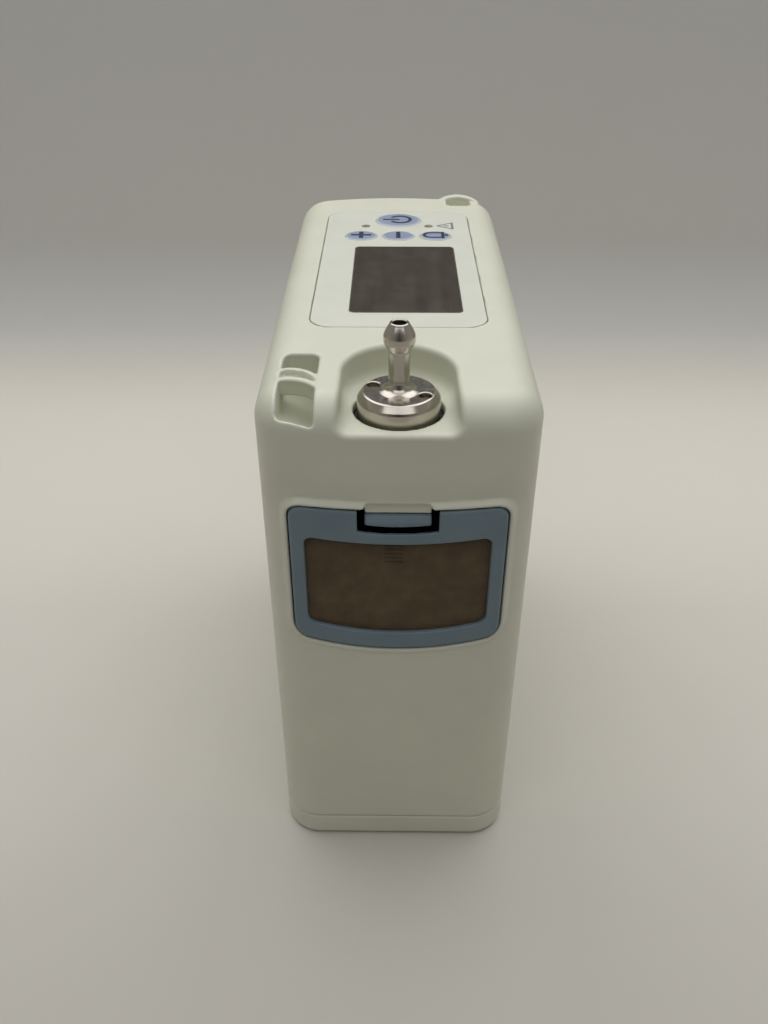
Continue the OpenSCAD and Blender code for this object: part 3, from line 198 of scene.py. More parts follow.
# Threads of the screen
PITCH = 0.5
THREAD_R = 0.08
THREAD_SIDES = 4
THREAD_Y = SCREEN_Y + 0.3
THREAD_SWAY = 0.11
THREAD_HOLD = 0.8
THREAD_LEAST = 2
SCREEN_REACH = 20
PROBE_HALF, PROBE_COUNT = 40, 1601
# Catch tab, its notch in the frame, the room behind it and the scoop in the housing over it
tab_low, tab_high = box_mm("filter_catch")
TAB_HALF = tab_high[0]
TAB_TOP = tab_high[2]
TAB_LOW = TAB_TOP - 3.2
TAB_SAG = 0.5
CAP_TOP = TAB_TOP - 1.0
LEAN_Y, LEAN_Z = FRAME_FACE + 0.6, 1.3
LEAF_HALF, LEAF_SUNK, LEAF_UP = 6, 0.4, 0.3
NOTCH_SIDE, NOTCH_DROP = 1.8, 2.2
TAB_ROOM, TAB_ROOM_DROP, TAB_ROOM_Y = 2.4, 2.2, FRAME_FACE + 1.0
TAB_ROOM_Z = (WINDOW_TOP - 2, TAB_TOP + 0.1)
KEEPER_GAP = 0.3
KEEPER_Y = FRONT + 2.2
SCOOP_AHEAD, SCOOP_UP, SCOOP_R, SCOOP_SIDE = 1.1, 1.6, 2.4, 0.2

# Back: grille as z, half sizes and corner, data port as half sizes and corner
GRILLE = (89.2, 20.0, 29.0, 4.0)
PORT_Z = 37.7
JACK_X, JACK_R = -18.0, 5.1
PORT_X, DATA_PORT = 18.0, (4.9, 2.2, 0.5)
OPENING_Y = BACK - 12
PLATE_Z = 26.8
BAY_GAP = 0.4
BAY_Y = BACK - 20

# Battery pack
case_low, case_high = box_mm("battery_case")
catch_low, catch_high = box_mm("battery_catch")
PACK_LOW = case_low[2]
PACK_TOP = BASE - 0.4
TUB_HALF = 29.5
TUB_FRONT = FRONT + 11.6
TUB_BACK = BACK - 10
TUB_TOP = box_mm("battery_lid")[0][2]
TUB_WALL = 1.4
TUB_FLOOR = 2
PLATE_GAP = 0.3
CONTACT_HALF, CONTACT_REACH = 14.3, 6
CATCH_HALF = catch_high[0]
CATCH_LOW = catch_low[2]
CATCH_H = 7.0
CATCH_GAP = 0.3
CATCH_DROP = 2.8
POCKET_Y = BACK - 4
NOSE_HALF, NOSE_Y = 4.3, BACK - 1.8
FEET = (HALF_W - 10, 60.0)
FOOT_HOLE_R, FOOT_HOLE_H = 5.1, 0.8

# Meshing: threads at work, points for each at a time, reach of a slope's probe, and the most
# that a point settles, as a share of the grid's step
WORKERS = 4
PART_POINTS = 8000
PROBE = 0.02
SETTLE = 0.6


# Distance functions: negative inside, in millimetres

def both(a, b, r=0.0):
    """What lies in a and in b, with an edge of radius r."""
    if r == 0:
        return np.maximum(a, b)
    return np.minimum(np.maximum(a, b), -r) + np.hypot(np.maximum(a + r, 0), np.maximum(b + r, 0))


def either(a, b, r=0.0):
    """What lies in a or in b, with an inner corner of radius r."""
    return -both(-a, -b, r)


def without(a, b, r=0.0):
    """What lies in a and not in b, with an edge of radius r."""
    return both(a, -b, r)


def between(v, low, high):
    return np.abs(v - (low + high) / 2) - (high - low) / 2


def block(x, y, half_x, half_y, r):
    """A rectangle with round corners."""
    a = np.abs(x) - half_x + r
    b = np.abs(y) - half_y + r
    return np.hypot(np.maximum(a, 0), np.maximum(b, 0)) + np.minimum(np.maximum(a, b), 0) - r


def oval(x, y, a, b):
    tiny = 1e-6
    near = np.hypot(x / a, y / b) + tiny
    slope = np.hypot(x / a ** 2, y / b ** 2) + tiny
    return near * (near - 1) / slope


def slope_of(y, z):
    """Place along the sloping top and height above it."""
    return (y - FRONT) * COS + (z - TOP) * SIN, (z - TOP) * COS - (y - FRONT) * SIN


def plan(x, y):
    """The body seen from above: straight front and sides, bowed back."""
    side = np.abs(x) - CORNER_X
    front = FRONT + CORNER_R - y
    flat = np.hypot(np.maximum(side, 0), np.maximum(front, 0))
    flat = flat + np.minimum(np.maximum(side, front), 0)
    bow = np.hypot(x, y - BOW_Y) - (BOW_R - CORNER_R)
    corner = np.hypot(side, y - BACK_CORNER_Y)
    in_cone = np.abs(x) <= (y - BOW_Y) * BOW_SLOPE
    behind = np.where(in_cone, bow, corner)
    return np.where(y > BACK_CORNER_Y, behind, np.maximum(flat, bow)) - CORNER_R


def body(x, y, n, inset=0.0, top_inset=0.0):
    return both(plan(x, y) + inset, n + top_inset, TOP_R - inset)


def bowed(x, z, outline, grow):
    """A face with a dip in its top edge and a belly in its lower edge."""
    half, top, dip, low, belly, r = outline
    half, top, low, r = half + grow, top + grow, low - grow, r + max(grow, -1.0)
    top_r = (half ** 2 + dip ** 2) / (2 * dip)
    low_r = (half ** 2 + belly ** 2) / (2 * belly)
    upper = top_r - np.hypot(x, z - top - top_r)
    lower = np.hypot(x, z - low - low_r) - low_r
    return both(both(np.abs(x) - half, upper, r), lower, r)


def frame_face(x, z, grow=0.0):
    return bowed(x, z, FRAME_OUTLINE, grow)


def window_face(x, z, grow=0.0):
    return bowed(x, z, WINDOW_OUTLINE, grow)


def tab_sag(x):
    """The lower edges of the tab and of its notch hang a little in the middle."""
    return TAB_SAG * (1 - (x / TAB_HALF) ** 2)


def recess(x, y, half):
    """The outlet recess from above: a half round that flares a little to the front."""
    ahead = np.clip(1 - (y - FRONT) / FLARE_REACH, 0, 1)
    round_end = np.hypot(x, np.maximum(y - FRONT - RECESS_S, 0))
    return round_end - half - RECESS_FLARE * ahead * ahead


def strap_bar(x, s, n, bar, groove=0.0):
    """A bowed bar, as wide along the slope everywhere, arched up in its middle."""
    bar_x, bar_s, r, width, depth, arch = bar
    front = r - np.hypot(x - bar_x, s - bar_s)
    rear = np.hypot(x - bar_x, s - bar_s - width) - r - BAR_REAR_MORE
    across = both(front, rear)
    rise = arch * np.maximum(1 - ((x - bar_x) / (r - ARCH_INSET)) ** 2, 0)
    shape = both(both(across, -depth - n, r=0.7), n - BAR_PROUD - rise, r=0.8)
    if groove:
        shape = without(shape, both(across + groove, -GROOVE_DEPTH - n, r=0.2), r=0.2)
    return shape


def hollow_walls(x, s, bar, hollow, grow):
    left, right, mid_s, half_s = hollow
    low_x, high_x = bar[0] + left - grow, bar[0] + right + grow
    return block(x - (low_x + high_x) / 2, s - mid_s, (high_x - low_x) / 2, half_s + grow,
                 HOLLOW_R + grow)


def front_hollow(x, s, n, grow=0.0):
    """Its floor falls to the body's middle and runs on level behind the bar."""
    axis_s, axis_n, r = FRONT_FLOOR
    fall = FLOOR_FALL * (x - (FRONT_BAR[0] + FRONT_HOLLOW[1] + grow))
    floor = np.hypot(np.minimum(s - axis_s, 0), n - axis_n + fall) - r - grow
    return both(hollow_walls(x, s, FRONT_BAR, FRONT_HOLLOW, grow), floor, r=1.2)


def rear_hollow(x, s, n, grow=0.0):
    s = s - REAR_BAR[1]
    axis_s, axis_n, r = REAR_FLOOR
    floor = np.hypot(s - axis_s, n - axis_n) - r - grow
    return both(hollow_walls(x, s, REAR_BAR, REAR_HOLLOW, grow), floor, r=0.8)


def eased(v):
    v = np.clip(v, 0, 1)
    return v * v * (3 - 2 * v)


def rim_height(away, z):
    """How far the soft rim round the filter stands out, with a shallow dip above it."""
    dip = DIP_DEPTH * eased((z - FRAME_TOP + DIP_FADE) / DIP_FADE)
    rim = (RIM_H + dip) * eased(1 - (away - RIM_FLAT) / RIM_FALL)
    return rim - dip * eased(1 - (away - DIP_START) / DIP_FALL)


def top_openings(x, s, sizes):
    """Display, keys and lights, seen from over the slope."""
    display_grow, corner, key_grow, light_r = sizes
    at_x, at_s, a, b = DISPLAY
    found = block(x - at_x, s - at_s, a + display_grow, b + display_grow, corner)
    for at_x, at_s, a, b in KEYS.values():
        found = np.minimum(found, oval(x - at_x, s - at_s, a + key_grow, b + key_grow))
    for at_x, at_s in LIGHTS:
        found = np.minimum(found, np.hypot(x - at_x, s - at_s) - light_r)
    return found


def housing_inside(x, y, z, s, n):
    """The room within the walls, less the recess, the lugs, the filter's seat and the bosses."""
    inner = body(x, y, n, WALL, TOP_WALL)
    inner = without(inner, both(recess(x, y, RECESS_HALF + WALL), SOCKET_TOP - z))
    inner = without(inner, front_hollow(x, s, n, LUG_WALL))
    inner = without(inner, rear_hollow(x, s, n, LUG_WALL))
    inner = without(inner, both(frame_face(x, z, SEAT_WALL), y - FRONT - SEAT_WALL_DEPTH))
    for boss_x, boss_y, height in BOSSES:
        upright = between(z, BOSS_LOW, BOSS_LOW + height)
        for side in (-1, 1):
            boss = both(np.hypot(x - side * boss_x, y - boss_y) - BOSS_R, upright)
            inner = without(inner, boss)
    return inner


def cut_top(shell, x, y, z, s, n):
    """Outlet recess, strap lugs and panel."""
    shell = without(shell, both(recess(x, y, RECESS_HALF), RECESS_Z - z, r=3.0), r=1.4)
    bore = both(np.hypot(x, y - OUTLET_Y) - OUTLET_HOLE_R, SOCKET_TOP - SOCKET_STEP - z)
    shell = without(shell, bore, r=0.4)
    lug = without(front_hollow(x, s, n), strap_bar(x, s, n, FRONT_BAR, BAR_GROOVE), r=0.5)
    shell = without(shell, lug, r=0.7)
    bar = both(strap_bar(x, s, n, REAR_BAR), plan(x, y) + BAR_INSET, r=0.8)
    shell = without(shell, without(rear_hollow(x, s, n), bar, r=0.4), r=0.5)
    shell = either(shell, bar, r=0.5)
    bed = block(x, s - PANEL_MID, PANEL_HALF + PANEL_GAP, PANEL_HALF_S + PANEL_GAP,
                PANEL_R + PANEL_GAP)
    shell = without(shell, both(bed, -PANEL_T - n), r=0.3)
    return without(shell, both(top_openings(x, s, HOUSING_OPENINGS), -OPENING_DEPTH - n))


def cut_front(shell, x, y, z):
    """The filter's seat, the intake, the keeper over the tab and the scoop over that."""
    keeper = both(np.abs(x) - TAB_HALF, CAP_TOP + KEEPER_GAP - z)
    seat = without(both(frame_face(x, z, FRAME_GAP), y - SEAT_Y), keeper, r=0.3)
    shell = without(shell, seat, r=0.7)
    intake = both(window_face(x, z, -INTAKE_INSET), y - FRONT - INTAKE_DEPTH)
    shell = without(shell, intake, r=0.3)
    room = both(np.abs(x) - TAB_HALF - TAB_ROOM, between(z, *TAB_ROOM_Z))
    shell = without(shell, both(room, between(y, KEEPER_Y, FRONT + INTAKE_DEPTH)), r=0.2)
    scoop = np.hypot(y - FRONT + SCOOP_AHEAD, z - CAP_TOP - SCOOP_UP) - SCOOP_R
    scoop = both(scoop, np.abs(x) - TAB_HALF - SCOOP_SIDE, r=1.5)
    return without(shell, scoop, r=0.4)


def cut_back(shell, x, y, z):
    """Grille, power inlet, data port and the bay of the battery pack."""
    vent = block(x, z - GRILLE[0], *GRILLE[1:])
    shell = without(shell, both(vent, OPENING_Y - y), r=0.5)
    jack = np.hypot(x - JACK_X, z - PORT_Z) - JACK_R
    shell = without(shell, both(jack, OPENING_Y - y), r=0.4)
    port = block(x - PORT_X, z - PORT_Z, *DATA_PORT)
    shell = without(shell, both(port, OPENING_Y - y), r=0.4)
    bay = both(np.abs(x) - TUB_HALF - BAY_GAP, z - PLATE_Z, r=0.8)
    return without(shell, both(bay, BAY_Y - y), r=0.4)


def housing(x, y, z):
    s, n = slope_of(y, z)
    rim = np.where(y < 0, rim_height(frame_face(x, z), z), 0)
    shell = without(body(x, y + rim, n), housing_inside(x, y, z, s, n))
    shell = cut_top(shell, x, y, z, s, n)
    shell = cut_front(shell, x, y, z)
    shell = cut_back(shell, x, y, z)
    return both(shell, BASE - z, r=0.5)


def battery_case(x, y, z):
    """The base band all round, the tub inside the housing and the plate at the back."""
    band = both(both(plan(x, y), PACK_LOW - z, r=1.2), z - PACK_TOP, r=0.4)
    tub = block(x, y - (TUB_FRONT + TUB_BACK) / 2, TUB_HALF, (TUB_BACK - TUB_FRONT) / 2, 0.5)
    tub = both(tub, between(z, PACK_LOW, TUB_TOP))
    rear = both(both(plan(x, y), np.abs(x) - TUB_HALF, r=0.5), TUB_BACK - 0.1 - y)
    rear = both(rear, between(z, PACK_LOW, PLATE_Z - PLATE_GAP), r=0.5)
    shape = either(either(band, tub), rear)
    cavity = both(np.abs(x) - TUB_HALF + TUB_WALL,
                  between(y, TUB_FRONT + TUB_WALL, TUB_BACK - TUB_WALL))
    shape = without(shape, both(cavity, PACK_LOW + TUB_FLOOR - z))
    contacts = both(np.abs(x) - CONTACT_HALF,
                    between(y, TUB_FRONT - CONTACT_REACH, TUB_FRONT + CONTACT_REACH))
    shape = without(shape, both(contacts, PACK_TOP - z))
    pocket = both(both(np.abs(x) - CATCH_HALF - CATCH_GAP, POCKET_Y - y),
                  between(z, CATCH_LOW - CATCH_DROP, CATCH_LOW + CATCH_H + CATCH_GAP))
    shape = without(shape, pocket, r=0.4)
    nose = both(both(np.abs(x) - NOSE_HALF, between(y, POCKET_Y, NOSE_Y)), CATCH_LOW - z)
    shape = without(shape, nose, r=0.2)
    for foot_x in (-FEET[0], FEET[0]):
        for foot_y in (-FEET[1], FEET[1]):
            hole = np.hypot(x - foot_x, y - foot_y) - FOOT_HOLE_R
            shape = without(shape, both(hole, z - PACK_LOW - FOOT_HOLE_H), r=0.2)
    return shape


def stem_radius(z):
    """Neck and barb: their radius by height, with the corners between them rounded."""
    turn = [(-99, NECK_R), (BARB_Z - 3.7, NECK_R), (BARB_Z - 1.5, BARB_R), (BARB_Z, BARB_R)]
    for i in range(1, 7):
        turn.append((BARB_Z + NOSE_H * i / 6, BARB_R - NOSE_IN * (i / 6) ** NOSE_BEND))
    turn.append((TIP_Z + 9, NOSE_R))
    heights, radii = zip(*turn)
    soft = 0
    for step in (-0.2, -0.1, 0.0, 0.1, 0.2):
        soft = soft + np.interp(z + step, heights, radii) / 5
    return soft


def outlet(x, y, z):
    y = y - OUTLET_Y
    rho = np.hypot(x, y)
    chamfer = (rho - FLANGE_R) * CHAMFER_OUT + (z - RECESS_Z - CHAMFER_H) * CHAMFER_UP
    chamfer = chamfer / math.hypot(CHAMFER_OUT, CHAMFER_UP)
    flange = both(both(rho - FLANGE_R, SOCKET_TOP - z, r=0.3), z - RECESS_Z - FLANGE_H)
    flange = both(flange, chamfer, r=0.25)
    stem = both(rho - stem_radius(z), z - TIP_Z, r=0.3)
    shape = either(flange, both(stem, RECESS_Z - z), r=2.7)
    foot = both(rho - FOOT_R, between(z, fitting_low[2], RECESS_Z - 1), r=0.2)
    shape = without(either(shape, foot), rho - BORE_R, r=0.25)
    for turn in SPANNER_TURNS:
        a = math.radians(turn)
        hole = np.hypot(x - SPANNER_AT * math.cos(a), y - SPANNER_AT * math.sin(a)) - SPANNER_R
        shape = without(shape, both(hole, RECESS_Z + SPANNER_H - z, r=0.3), r=0.3)
    return shape


def filter_frame(x, y, z):
    shape = both(both(frame_face(x, z), FRAME_FACE - y, r=1.1), y - FRAME_BACK, r=0.2)
    shape = without(shape, both(window_face(x, z), y - SCREEN_Y), r=0.7)
    shape = without(shape, both(window_face(x, z, SCREEN_GROOVE), SCREEN_Y - y))
    notch_low = TAB_LOW - NOTCH_DROP - tab_sag(x)
    notch = both(np.abs(x) - TAB_HALF - NOTCH_SIDE, notch_low - z, r=0.5)
    shape = without(shape, notch, r=0.3)
    room = both(np.abs(x) - TAB_HALF - TAB_ROOM, notch_low - TAB_ROOM_DROP - z)
    return without(shape, both(room, TAB_ROOM_Y - y))


def filter_tab(x, y, z):
    """A cap that leans back at its top, and the leaf behind it that holds in the keeper."""
    cap = both(np.abs(x) - TAB_HALF, between(y, FRAME_FACE, FRAME_BACK), r=0.6)
    cap = both(both(cap, TAB_LOW - tab_sag(x) - z, r=0.5), z - CAP_TOP, r=0.3)
    cap = both(cap, (LEAN_Y - y) * 0.8 + (z - CAP_TOP + LEAN_Z) * 0.6, r=0.6)
    leaf = both(np.abs(x) - LEAF_HALF, between(y, FRAME_BACK - LEAF_SUNK, tab_high[1]), r=0.2)
    leaf = both(leaf, between(z, TAB_LOW + LEAF_UP, TAB_TOP), r=0.2)
    return either(cap, leaf, r=0.3)


def filter_pad(x, y, z):
    """The felt behind the screen with its ribbed port, and the foam between screen and seat."""
    ring = both(window_face(x, z, FOAM_OUT), between(y, FOAM_Y, SEAT_Y - 0.05))
    lining = both(window_face(x, z, FOAM_LINING), between(y, FOAM_Y, FRONT + LINING_DEPTH))
    foam = without(either(ring, lining), window_face(x, z, FOAM_IN), r=0.3)
    felt = both(window_face(x, z, FELT_GROW), between(y, *FELT_Y))
    port = block(x - PORT_HOLE[0], z - PORT_HOLE[1], PORT_HOLE[2], PORT_HOLE[3], 0.5)
    ribs = np.abs(np.mod(z - WINDOW_TOP, RIB_PITCH) - RIB_PITCH / 2) - RIB_HALF
    ribs = both(ribs, z - WINDOW_TOP + RIB_START)
    return either(foam, without(felt, without(port, ribs)))


def panel(x, s, n):
    face = block(x, s - PANEL_MID, PANEL_HALF + PANEL_EDGE, PANEL_HALF_S + PANEL_EDGE, PANEL_R)
    face = without(face, top_openings(x, s, PANEL_OPENINGS))
    return both(face, between(n, -PANEL_T, 0), r=0.15)


def display(x, s, n):
    at_x, at_s, a, b = DISPLAY
    return both(block(x - at_x, s - at_s, a, b, DISPLAY_R), between(n, -PANEL_T, 0), r=0.2)


def key_shape(at_x, at_s, a, b):
    """A crowned cap in the panel's opening, with a lip under the panel and a stem."""
    def key(x, s, n):
        x, s = x - at_x, s - at_s
        out = np.clip((1 - np.hypot(x / a, s / b)) / KEY_RIM, 0, 1)
        crown = KEY_PROUD * out * (2 - out)
        cap = both(both(oval(x, s, a, b), n - crown, r=0.08), KEY_UNDER - n)
        lip = both(oval(x, s, a + KEY_LIP, b + KEY_LIP), between(n, LIP_LOW, KEY_UNDER))
        stem = both(np.hypot(x, s) - STEM_R, between(n, STEM_LOW, STEM_TOP))
        return either(either(cap, lip), stem)
    return key


# Meshes from distance functions

CORNERS = [np.array((i, j, k)) for i in (0, 1) for j in (0, 1) for k in (0, 1)]


def along(axis, part):
    """An index that takes a part of one axis of a grid and all of the others."""
    index = [slice(None)] * 3
    index[axis] = part
    return tuple(index)


def net(field, low, step):
    """A net of quads through the cells that the surface crosses."""
    inside = field < 0
    nx, ny, nz = field.shape
    count = np.zeros((nx - 1, ny - 1, nz - 1), np.int8)
    for c in CORNERS:
        count += inside[c[0]:nx - 1 + c[0], c[1]:ny - 1 + c[1], c[2]:nz - 1 + c[2]]
    active = (count > 0) & (count < len(CORNERS))
    cells = np.argwhere(active)
    index = np.full(active.shape, -1, np.int32)
    index[active] = np.arange(len(cells))
    total = np.zeros((len(cells), 3))
    hits = np.zeros(len(cells))
    for a in CORNERS:
        for axis in range(3):
            if a[axis]:
                continue
            b = a.copy()
            b[axis] = 1
            fa = field[tuple((cells + a).T)]
            fb = field[tuple((cells + b).T)]
            cut = (fa < 0) != (fb < 0)
            share = fa[cut] / (fa[cut] - fb[cut])
            point = np.repeat(a[None, :].astype(float), len(share), 0)
            point[:, axis] += share
            total[cut] += point
            hits[cut] += 1
    points = low + step * (cells + total / hits[:, None])
    quads = []
    for axis in range(3):
        u, v = (axis + 1) % 3, (axis + 2) % 3
        here = inside[along(axis, slice(None, -1))]
        ahead = inside[along(axis, slice(1, None))]
        cross = here != ahead
        for side in (u, v):
            cross[along(side, slice(0, 1))] = False
        at = np.argwhere(cross)
        du, dv = np.zeros(3, int), np.zeros(3, int)
        du[u] = 1
        dv[v] = 1
        ring = np.stack([index[tuple((at - m).T)] for m in (du + dv, dv, du * 0, du)], 1)
        out = here[cross]
        ring[~out] = ring[~out][:, ::-1]
        quads.append(ring)
    return points, np.concatenate(quads)


def in_parts(work, parts):
    """The same work on many small parts, side by side."""
    with ThreadPoolExecutor(WORKERS) as pool:
        return np.concatenate(list(pool.map(work, parts)))


def grid_field(shape, axes):
    x, y, z = [a.astype(np.float32) for a in axes]

    def slab(part):
        value = shape(part[:, None, None], y[None, :, None], z[None, None, :])
        return np.broadcast_to(value, (len(part), len(y), len(z))).astype(np.float32)
    return in_parts(slab, np.array_split(x, len(x)))


def slopes(shape, p):
    """Gradient of a distance function at points, and its value there."""
    def part_slopes(part):
        here = shape(*part.T)
        grad = [(shape(*(part + d).T) - here) / PROBE for d in np.eye(3) * PROBE]
        return np.stack(grad + [here], 1)
    found = in_parts(part_slopes, np.array_split(p, len(p) // PART_POINTS + 1))
    return found[:, :3], found[:, 3:]


def settle(shape, p, step):
    """Moves net points onto the surface itself."""
    for _ in range(2):
        grad, value = slopes(shape, p)
        move = value * grad / (np.sum(grad ** 2, 1)[:, None] + 1e-6)
        p = p - np.clip(move, -SETTLE * step, SETTLE * step)
    return p


def turned(v):
    """Directions by x, s and n, in the shared frame."""
    return np.stack([v[:, 0], v[:, 1] * COS - v[:, 2] * SIN, v[:, 1] * SIN + v[:, 2] * COS], 1)


def sloped(p):
    """Points by x, s and n, in the shared frame."""
    return turned(p) + (0, FRONT, TOP)


def placed(name, data):
    obj = bpy.data.objects.new(name, data)
    bpy.context.scene.collection.objects.link(obj)
    return obj


def mesh_object(name, points, faces):
    mesh = bpy.data.meshes.new(name)
    mesh.vertices.add(len(points))
    mesh.vertices.foreach_set("co", (points * MM).ravel())
    mesh.loops.add(faces.size)
    mesh.loops.foreach_set("vertex_index", faces.ravel())
    mesh.polygons.add(len(faces))
    mesh.polygons.foreach_set("loop_start", np.arange(0, faces.size, faces.shape[1]))
    mesh.update(calc_edges=True)
    return placed(name, mesh)


def thin_out(obj, share):
    """Keeps a share of the faces, fewest where the surface is flat."""
    modifier = obj.modifiers.new("thin", "DECIMATE")
    modifier.ratio = share
    modifier.use_collapse_triangulate = True
    graph = bpy.context.evaluated_depsgraph_get()
    mesh = bpy.data.meshes.new_from_object(obj.evaluated_get(graph))
    obj.modifiers.clear()
    obj.data = mesh


def dress(obj, rides, slot, nodes=(), look=None):
    """Gives a piece the material of its slot or look and its body, and hides the nodes it
    replaces.
    """
    obj.data.materials.append(MATERIALS[look or slot])
    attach(obj, rides)
    if nodes:
        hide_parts(*nodes)
    return obj


def carve(name, shape, low, high, step, thin=0.0, on_top=False, **piece):
    """A piece from its distance function, with the surface's own normals.

    Its grid reaches one and a half steps past the box from low to high, so that the net closes.
    """
    low = np.array(low, float) - 1.5 * step
    counts = [int(math.ceil((h - l) / step)) + 3 for l, h in zip(low, high)]
    axes = [low[i] + step * np.arange(counts[i]) for i in range(3)]
    points, quads = net(grid_field(shape, axes), low, step)
    obj = mesh_object(name, settle(shape, points, step), quads)
    if thin:
        thin_out(obj, thin)
    points = np.zeros(len(obj.data.vertices) * 3)
    obj.data.vertices.foreach_get("co", points)
    points = points.reshape(-1, 3) / MM
    normals = slopes(shape, points)[0]
    normals /= np.linalg.norm(normals, axis=1)[:, None] + 1e-9
    if on_top:
        obj.data.vertices.foreach_set("co", (sloped(points) * MM).ravel())
        normals = turned(normals)
    obj.data.shade_smooth()
    obj.data.normals_split_custom_set_from_vertices(normals)
    obj.data.update()
    return dress(obj, **piece)


# Materials

def linear(r, g, b):
    """Colour sockets hold linear light; colours here are written as seen, from 0 to 255."""
    out = []
    for c in (r, g, b):
        c = c / 255
        out.append(c / 12.92 if c <= 0.04045 else ((c + 0.055) / 1.055) ** 2.4)
    return (*out, 1.0)


class Nodes:
    """A node tree with short ways to add nodes and to join them."""

    def __init__(self, tree):
        self.tree = tree

    def node(self, kind, **values):
        made = self.tree.nodes.new(kind)
        for key, value in values.items():
            setattr(made, key, value)
        return made

    def link(self, out, into):
        self.tree.links.new(out, into)

    def maths(self, operation, *values):
        made = self.node("ShaderNodeMath", operation=operation)
        for value, into in zip(values, made.inputs):
            self.link(value, into)
        return made.outputs["Value"]

    def mix(self, share, a, b):
        """A colour between a and b, each a colour or another node's output."""
        made = self.node("ShaderNodeMix", data_type="RGBA")
        self.link(share, made.inputs["Factor"])
        for value, into in zip((a, b), [i for i in made.inputs if i.type == "RGBA"]):
            if isinstance(value, tuple):
                into.default_value = value
            else:
                self.link(value, into)
        return [o for o in made.outputs if o.type == "RGBA"][0]


class Surface(Nodes):
    """A principled material with a few helpers for its nodes."""

    def __init__(self, name, **sockets):
        self.material = bpy.data.materials.new(name)
        self.material.use_nodes = True
        super().__init__(self.material.node_tree)
        self.shader = self.tree.nodes["Principled BSDF"]
        for socket, value in sockets.items():
            self.shader.inputs[socket].default_value = value
        self.place = self.node("ShaderNodeTexCoord").outputs["Object"]

    def noise(self, size_mm, detail, stretch=(1, 1, 1)):
        mapping = self.node("ShaderNodeMapping")
        mapping.inputs["Scale"].default_value = stretch
        self.link(self.place, mapping.inputs["Vector"])
        made = self.node("ShaderNodeTexNoise")
        made.inputs["Scale"].default_value = 1 / (size_mm * MM)
        made.inputs["Detail"].default_value = detail
        self.link(mapping.outputs["Vector"], made.inputs["Vector"])
        return made.outputs["Fac"]

    def spread(self, value, low, high, from_low=0.3, from_high=0.7):
        """Spreads a value from low to high. Noise keeps mostly to 0.3 to 0.7."""
        made = self.node("ShaderNodeMapRange")
        made.inputs["From Min"].default_value = from_low
        made.inputs["From Max"].default_value = from_high
        made.inputs["To Min"].default_value = low
        made.inputs["To Max"].default_value = high
        self.link(value, made.inputs["Value"])
        return made.outputs["Result"]

    def cloud(self, noise, a, b):
        """A colour that drifts between two tones."""
        return self.mix(self.spread(noise, 0, 1), a, b)

    def colour(self, value):
        self.link(value, self.shader.inputs["Base Color"])

    def rough(self, noise, low, high):
        self.link(self.spread(noise, low, high), self.shader.inputs["Roughness"])

    def bump(self, height, depth_mm):
        made = self.node("ShaderNodeBump")
        made.inputs["Distance"].default_value = depth_mm * MM
        self.link(height, made.inputs["Height"])
        self.link(made.outputs["Normal"], self.shader.inputs["Normal"])


def moulded(name, colour, rough, mottle, grain_mm=0.35, grain_depth=0.012, wear=None, **sockets):
    """Moulded plastic: faint clouding, fine spark-eroded grain and rubbed edges."""
    s = Surface(name, **sockets)
    dark, light = [linear(*[c + shift for c in colour]) for shift in (-mottle, mottle)]
    tone = s.cloud(s.noise(14, detail=4), dark, light)
    if wear:
        edge = s.spread(s.node("ShaderNodeNewGeometry").outputs["Pointiness"], 0, 0.5,
                        from_low=0.52, from_high=0.60)
        tone = s.mix(edge, tone, linear(*wear))
    s.colour(tone)
    s.rough(s.noise(5, detail=5), rough - 0.05, rough + 0.06)
    s.bump(s.noise(grain_mm, detail=2), grain_depth)
    return s.material


def turned_steel():
    """Steel with the fine rings that turning leaves."""
    s = Surface("turned_steel", Metallic=1.0)
    s.colour(s.cloud(s.noise(3, detail=4), linear(186, 180, 170), linear(194, 188, 178)))
    s.rough(s.noise(1.2, detail=4, stretch=(1, 1, 6)), 0.18, 0.25)
    s.bump(s.noise(1.2, detail=2, stretch=(0.1, 0.1, 14)), 0.0007)
    return s.material


def woven(name, colour):
    s = Surface(name)
    dark = linear(*[c * 0.8 for c in colour])
    s.colour(s.cloud(s.noise(4, detail=5), dark, linear(*colour)))
    s.rough(s.noise(0.6, detail=3), 0.6, 0.85)
    s.bump(s.noise(0.12, detail=3, stretch=(1, 1, 4)), 0.02)
    return s.material


def key_film():
    """The key's blue fades to the panel's colour down its rim."""
    s = Surface("key_film")
    height = s.node("ShaderNodeVectorMath", operation="DOT_PRODUCT")
    height.inputs[1].default_value = (0, -SIN, COS)
    s.link(s.place, height.inputs[0])
    panel_level = (TOP * COS - FRONT * SIN) * MM
    crown = s.spread(height.outputs["Value"], 0, 1,
                     from_low=panel_level + 0.02 * MM, from_high=panel_level + 0.24 * MM)
    blue = s.cloud(s.noise(9, detail=4), linear(138, 150, 172), linear(144, 156, 178))
    s.colour(s.mix(crown, linear(196, 200, 200), blue))
    s.rough(s.noise(5, detail=5), 0.34, 0.44)
    s.bump(s.noise(0.35, detail=2), 0.006)
    return s.material


def display_glass():
    """Dark glass with faint bands that run along the top."""
    s = Surface("display_glass", IOR=1.5)
    bands = s.noise(3.2, detail=2, stretch=(1, 0.04, 1))
    s.colour(s.cloud(bands, linear(68, 62, 55), linear(77, 71, 62)))
    s.rough(s.noise(6, detail=4), 0.16, 0.26)
    s.bump(s.noise(9, detail=2), 0.004)
    return s.material


